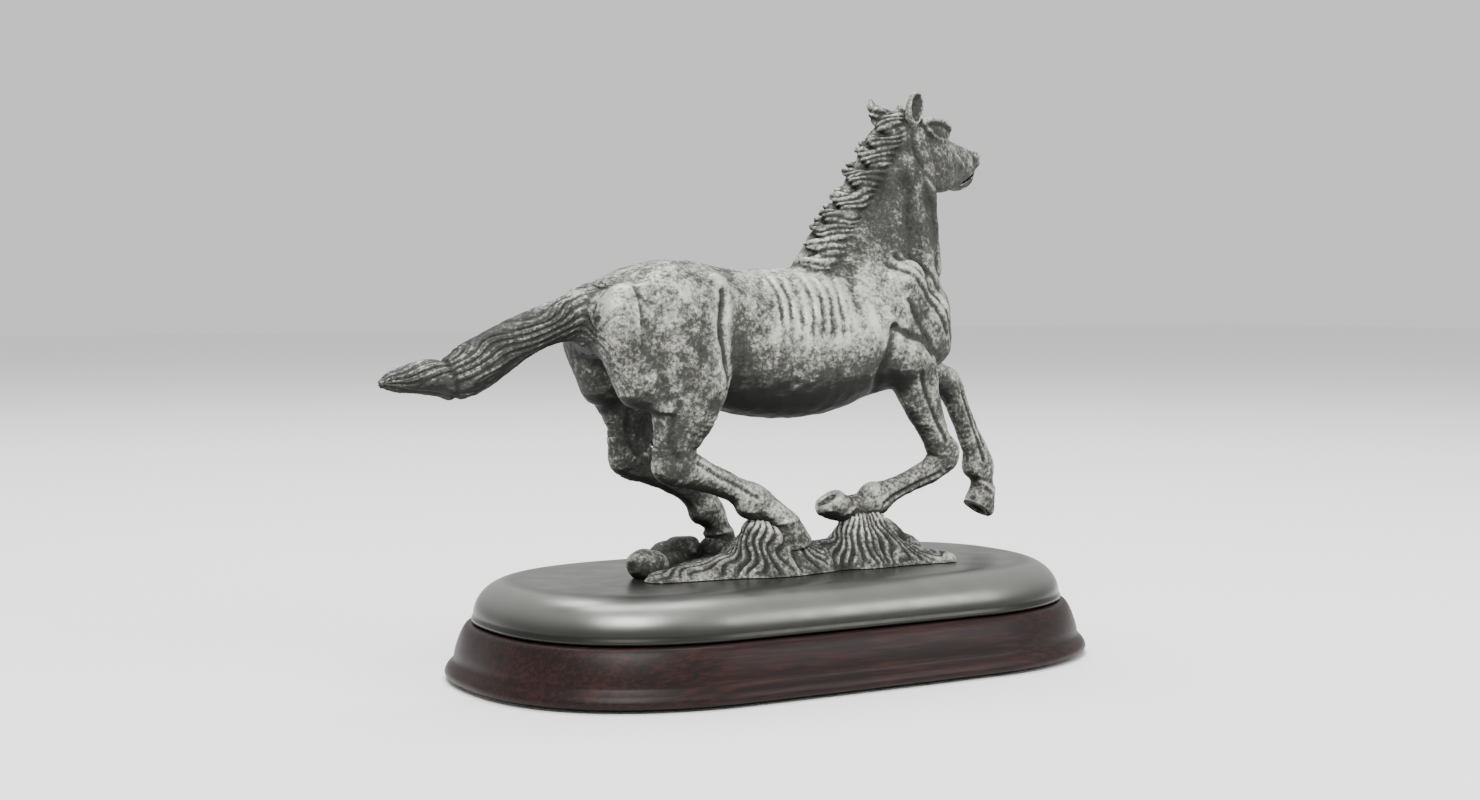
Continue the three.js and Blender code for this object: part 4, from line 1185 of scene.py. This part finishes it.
def cap_profile():
    """Up the cap's side, round its rim along a quarter of an ellipse, and on to its flat top."""
    made = [(9.9, 20.8), (CAP_INSET, 21.0), (CAP_INSET, 22.2)]
    for k in range(CAP_STEPS + 1):
        turn = math.pi / 2 * k / CAP_STEPS
        made.append((CAP_INSET + CAP_DRAFT + CAP_ROUND_WIDTH * (1 - math.cos(turn)),
                     CAP_TOP - CAP_ROUND_HEIGHT + CAP_ROUND_HEIGHT * math.sin(turn)))
    made.append((CAP_INSET + CAP_DRAFT + CAP_ROUND_WIDTH + 6, CAP_TOP + 0.001))
    return made


def outline(inset, height):
    """Points round the base at a height, set in from the base's rounded oblong."""
    ring = []
    for i in range(OUTLINE_POINTS):
        turn = 2 * math.pi * i / OUTLINE_POINTS
        c, s = (math.copysign(abs(v) ** ROUNDING, v) for v in (math.cos(turn), math.sin(turn)))
        x = math.copysign(HALF_STRAIGHT, c) if abs(c) > NEVER_ZERO else 0
        ring.append((x * min(1, abs(c) * STRAIGHT_REACH) + (END_LENGTH - inset) * c,
                     (HALF_WIDTH - inset) * s, height))
    return ring


def turned_sides(name, profile):
    """A solid of the base's outline, its side following a profile."""
    shape = bmesh.new()
    rings = [[shape.verts.new(Vector(p) * MM) for p in outline(*row)] for row in profile]
    for low, high in zip(rings, rings[1:]):
        for i in range(len(low)):
            j = (i + 1) % len(low)
            shape.faces.new((low[i], low[j], high[j], high[i]))
    shape.faces.new(rings[-1])
    shape.faces.new(rings[0][::-1])
    bmesh.ops.recalc_face_normals(shape, faces=shape.faces)
    for face in shape.faces:
        face.smooth = len(face.verts) == 4
    mesh = bpy.data.meshes.new(name)
    shape.to_mesh(mesh)
    shape.free()
    return mesh


class STATUE_OT_base(Build):
    """Satin cap, moulded wood base and the felt under it"""
    bl_idname = "statue.base"
    bl_label = "Base"

    def build(self):
        for name, profile, slot, replaces, material in (
            ("Plinth_cap", cap_profile(), "satin_cap_metal", "plinth_cap", satin_metal()),
            ("Wood_base", MOULDING, "mahogany", "wood_base", stained_wood()),
            ("Felt_pad", PAD, "baize", "felt_pad", green_felt()),
        ):
            felt = place(name, turned_sides(name, profile), slot, replaces)
            felt.data.materials.append(material)


class STATUE_OT_hardware(Build):
    """Plated finish on the pins, studs, nuts, washers and screws"""
    bl_idname = "statue.hardware"
    bl_label = "Hardware"

    def build(self):
        steel = plated_steel()
        for name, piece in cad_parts.items():
            if any(word in name for word in ("pin", "stud", "washer", "nut", "screw")):
                for held in piece.material_slots:
                    held.material = steel


# Lamps: name, place, size and watts. All lengths in metres.
LAMPS = (
    ("Key", (-0.7, -1.0, 1.5), (0.8, 0.8), 40.0),
    ("Front", (0.9, -1.1, 0.8), (0.6, 0.6), 10.0),
    ("Top", (0.2, 0.6, 1.8), (1.2, 1.0), 40.0),
)
SKY_STRENGTH = 0.85
EYE, LOOKED_AT = (-0.4024, -0.6436, 0.1371), (-0.0105, 0.0087, 0.0972)


class STATUE_OT_stage(Build):
    """Pale floor, soft lights and camera"""
    bl_idname = "statue.stage"
    bl_label = "Stage"

    def build(self):
        look = settings()
        shape = bmesh.new()
        bmesh.ops.create_grid(shape, x_segments=1, y_segments=1, size=6)
        mesh = bpy.data.meshes.new("Floor")
        shape.to_mesh(mesh)
        shape.free()
        floor = bpy.data.objects.new("Floor", mesh)
        pale = Shader("Pale floor")
        pale.give(Base_Color=tuple(look.floor), Roughness=0.9)
        mesh.materials.append(pale.material)
        bpy.context.scene.collection.objects.link(floor)
        for row in LAMPS:
            lamp(*row)
        world = bpy.data.worlds.new("Studio")
        world.use_nodes = True
        sky = world.node_tree.nodes["Background"].inputs
        sky["Color"].default_value = (1, 1, 1, 1)
        sky["Strength"].default_value = SKY_STRENGTH
        bpy.context.scene.world = world
        camera = bpy.data.cameras.new("Camera")
        camera.lens, camera.sensor_width = 50, 36
        camera.dof.use_dof = False
        eye = bpy.data.objects.new("Camera", camera)
        eye.location = EYE
        aim = Vector(LOOKED_AT) - Vector(EYE)
        eye.rotation_euler = aim.to_track_quat("-Z", "Y").to_euler()
        bpy.context.scene.collection.objects.link(eye)
        bpy.context.scene.camera = eye


def lamp(name, at, size, watts):
    """A soft rectangular lamp that looks at the horse."""
    light = bpy.data.lights.new(name, "AREA")
    light.shape, light.size, light.size_y = "RECTANGLE", *size
    light.energy = watts
    made = bpy.data.objects.new(name, light)
    made.location = at
    made.rotation_euler = (Vector((0, 0, 0.1)) - Vector(at)).to_track_quat("-Z", "Y").to_euler()
    bpy.context.scene.collection.objects.link(made)


STEPS = (
    STATUE_OT_trunk,
    STATUE_OT_head,
    STATUE_OT_legs,
    STATUE_OT_tail,
    STATUE_OT_turf,
    STATUE_OT_base,
    STATUE_OT_hardware,
    STATUE_OT_stage,
)


class STATUE_PT_panel(bpy.types.Panel):
    """Sizes, colours and steps of the statue"""
    bl_label = "Statue"
    bl_idname = "STATUE_PT_panel"
    bl_space_type = "VIEW_3D"
    bl_region_type = "UI"
    bl_category = "Statue"

    def draw(self, context):
        for name in StatueSettings.__annotations__:
            self.layout.prop(context.scene.statue, name)
        for step in STEPS:
            self.layout.operator(step.bl_idname)


CLASSES = (StatueSettings, *STEPS, STATUE_PT_panel)


def register():
    for cls in CLASSES:
        bpy.utils.register_class(cls)
    bpy.types.Scene.statue = PointerProperty(type=StatueSettings)


def unregister():
    del bpy.types.Scene.statue
    for cls in reversed(CLASSES):
        bpy.utils.unregister_class(cls)


def main():
    register()
    for step in STEPS:
        group, name = step.bl_idname.split(".")
        if getattr(getattr(bpy.ops, group), name)() != {"FINISHED"}:
            raise RuntimeError(step.bl_idname + " did not finish")
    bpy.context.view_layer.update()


if __name__ == "__main__":
    main()
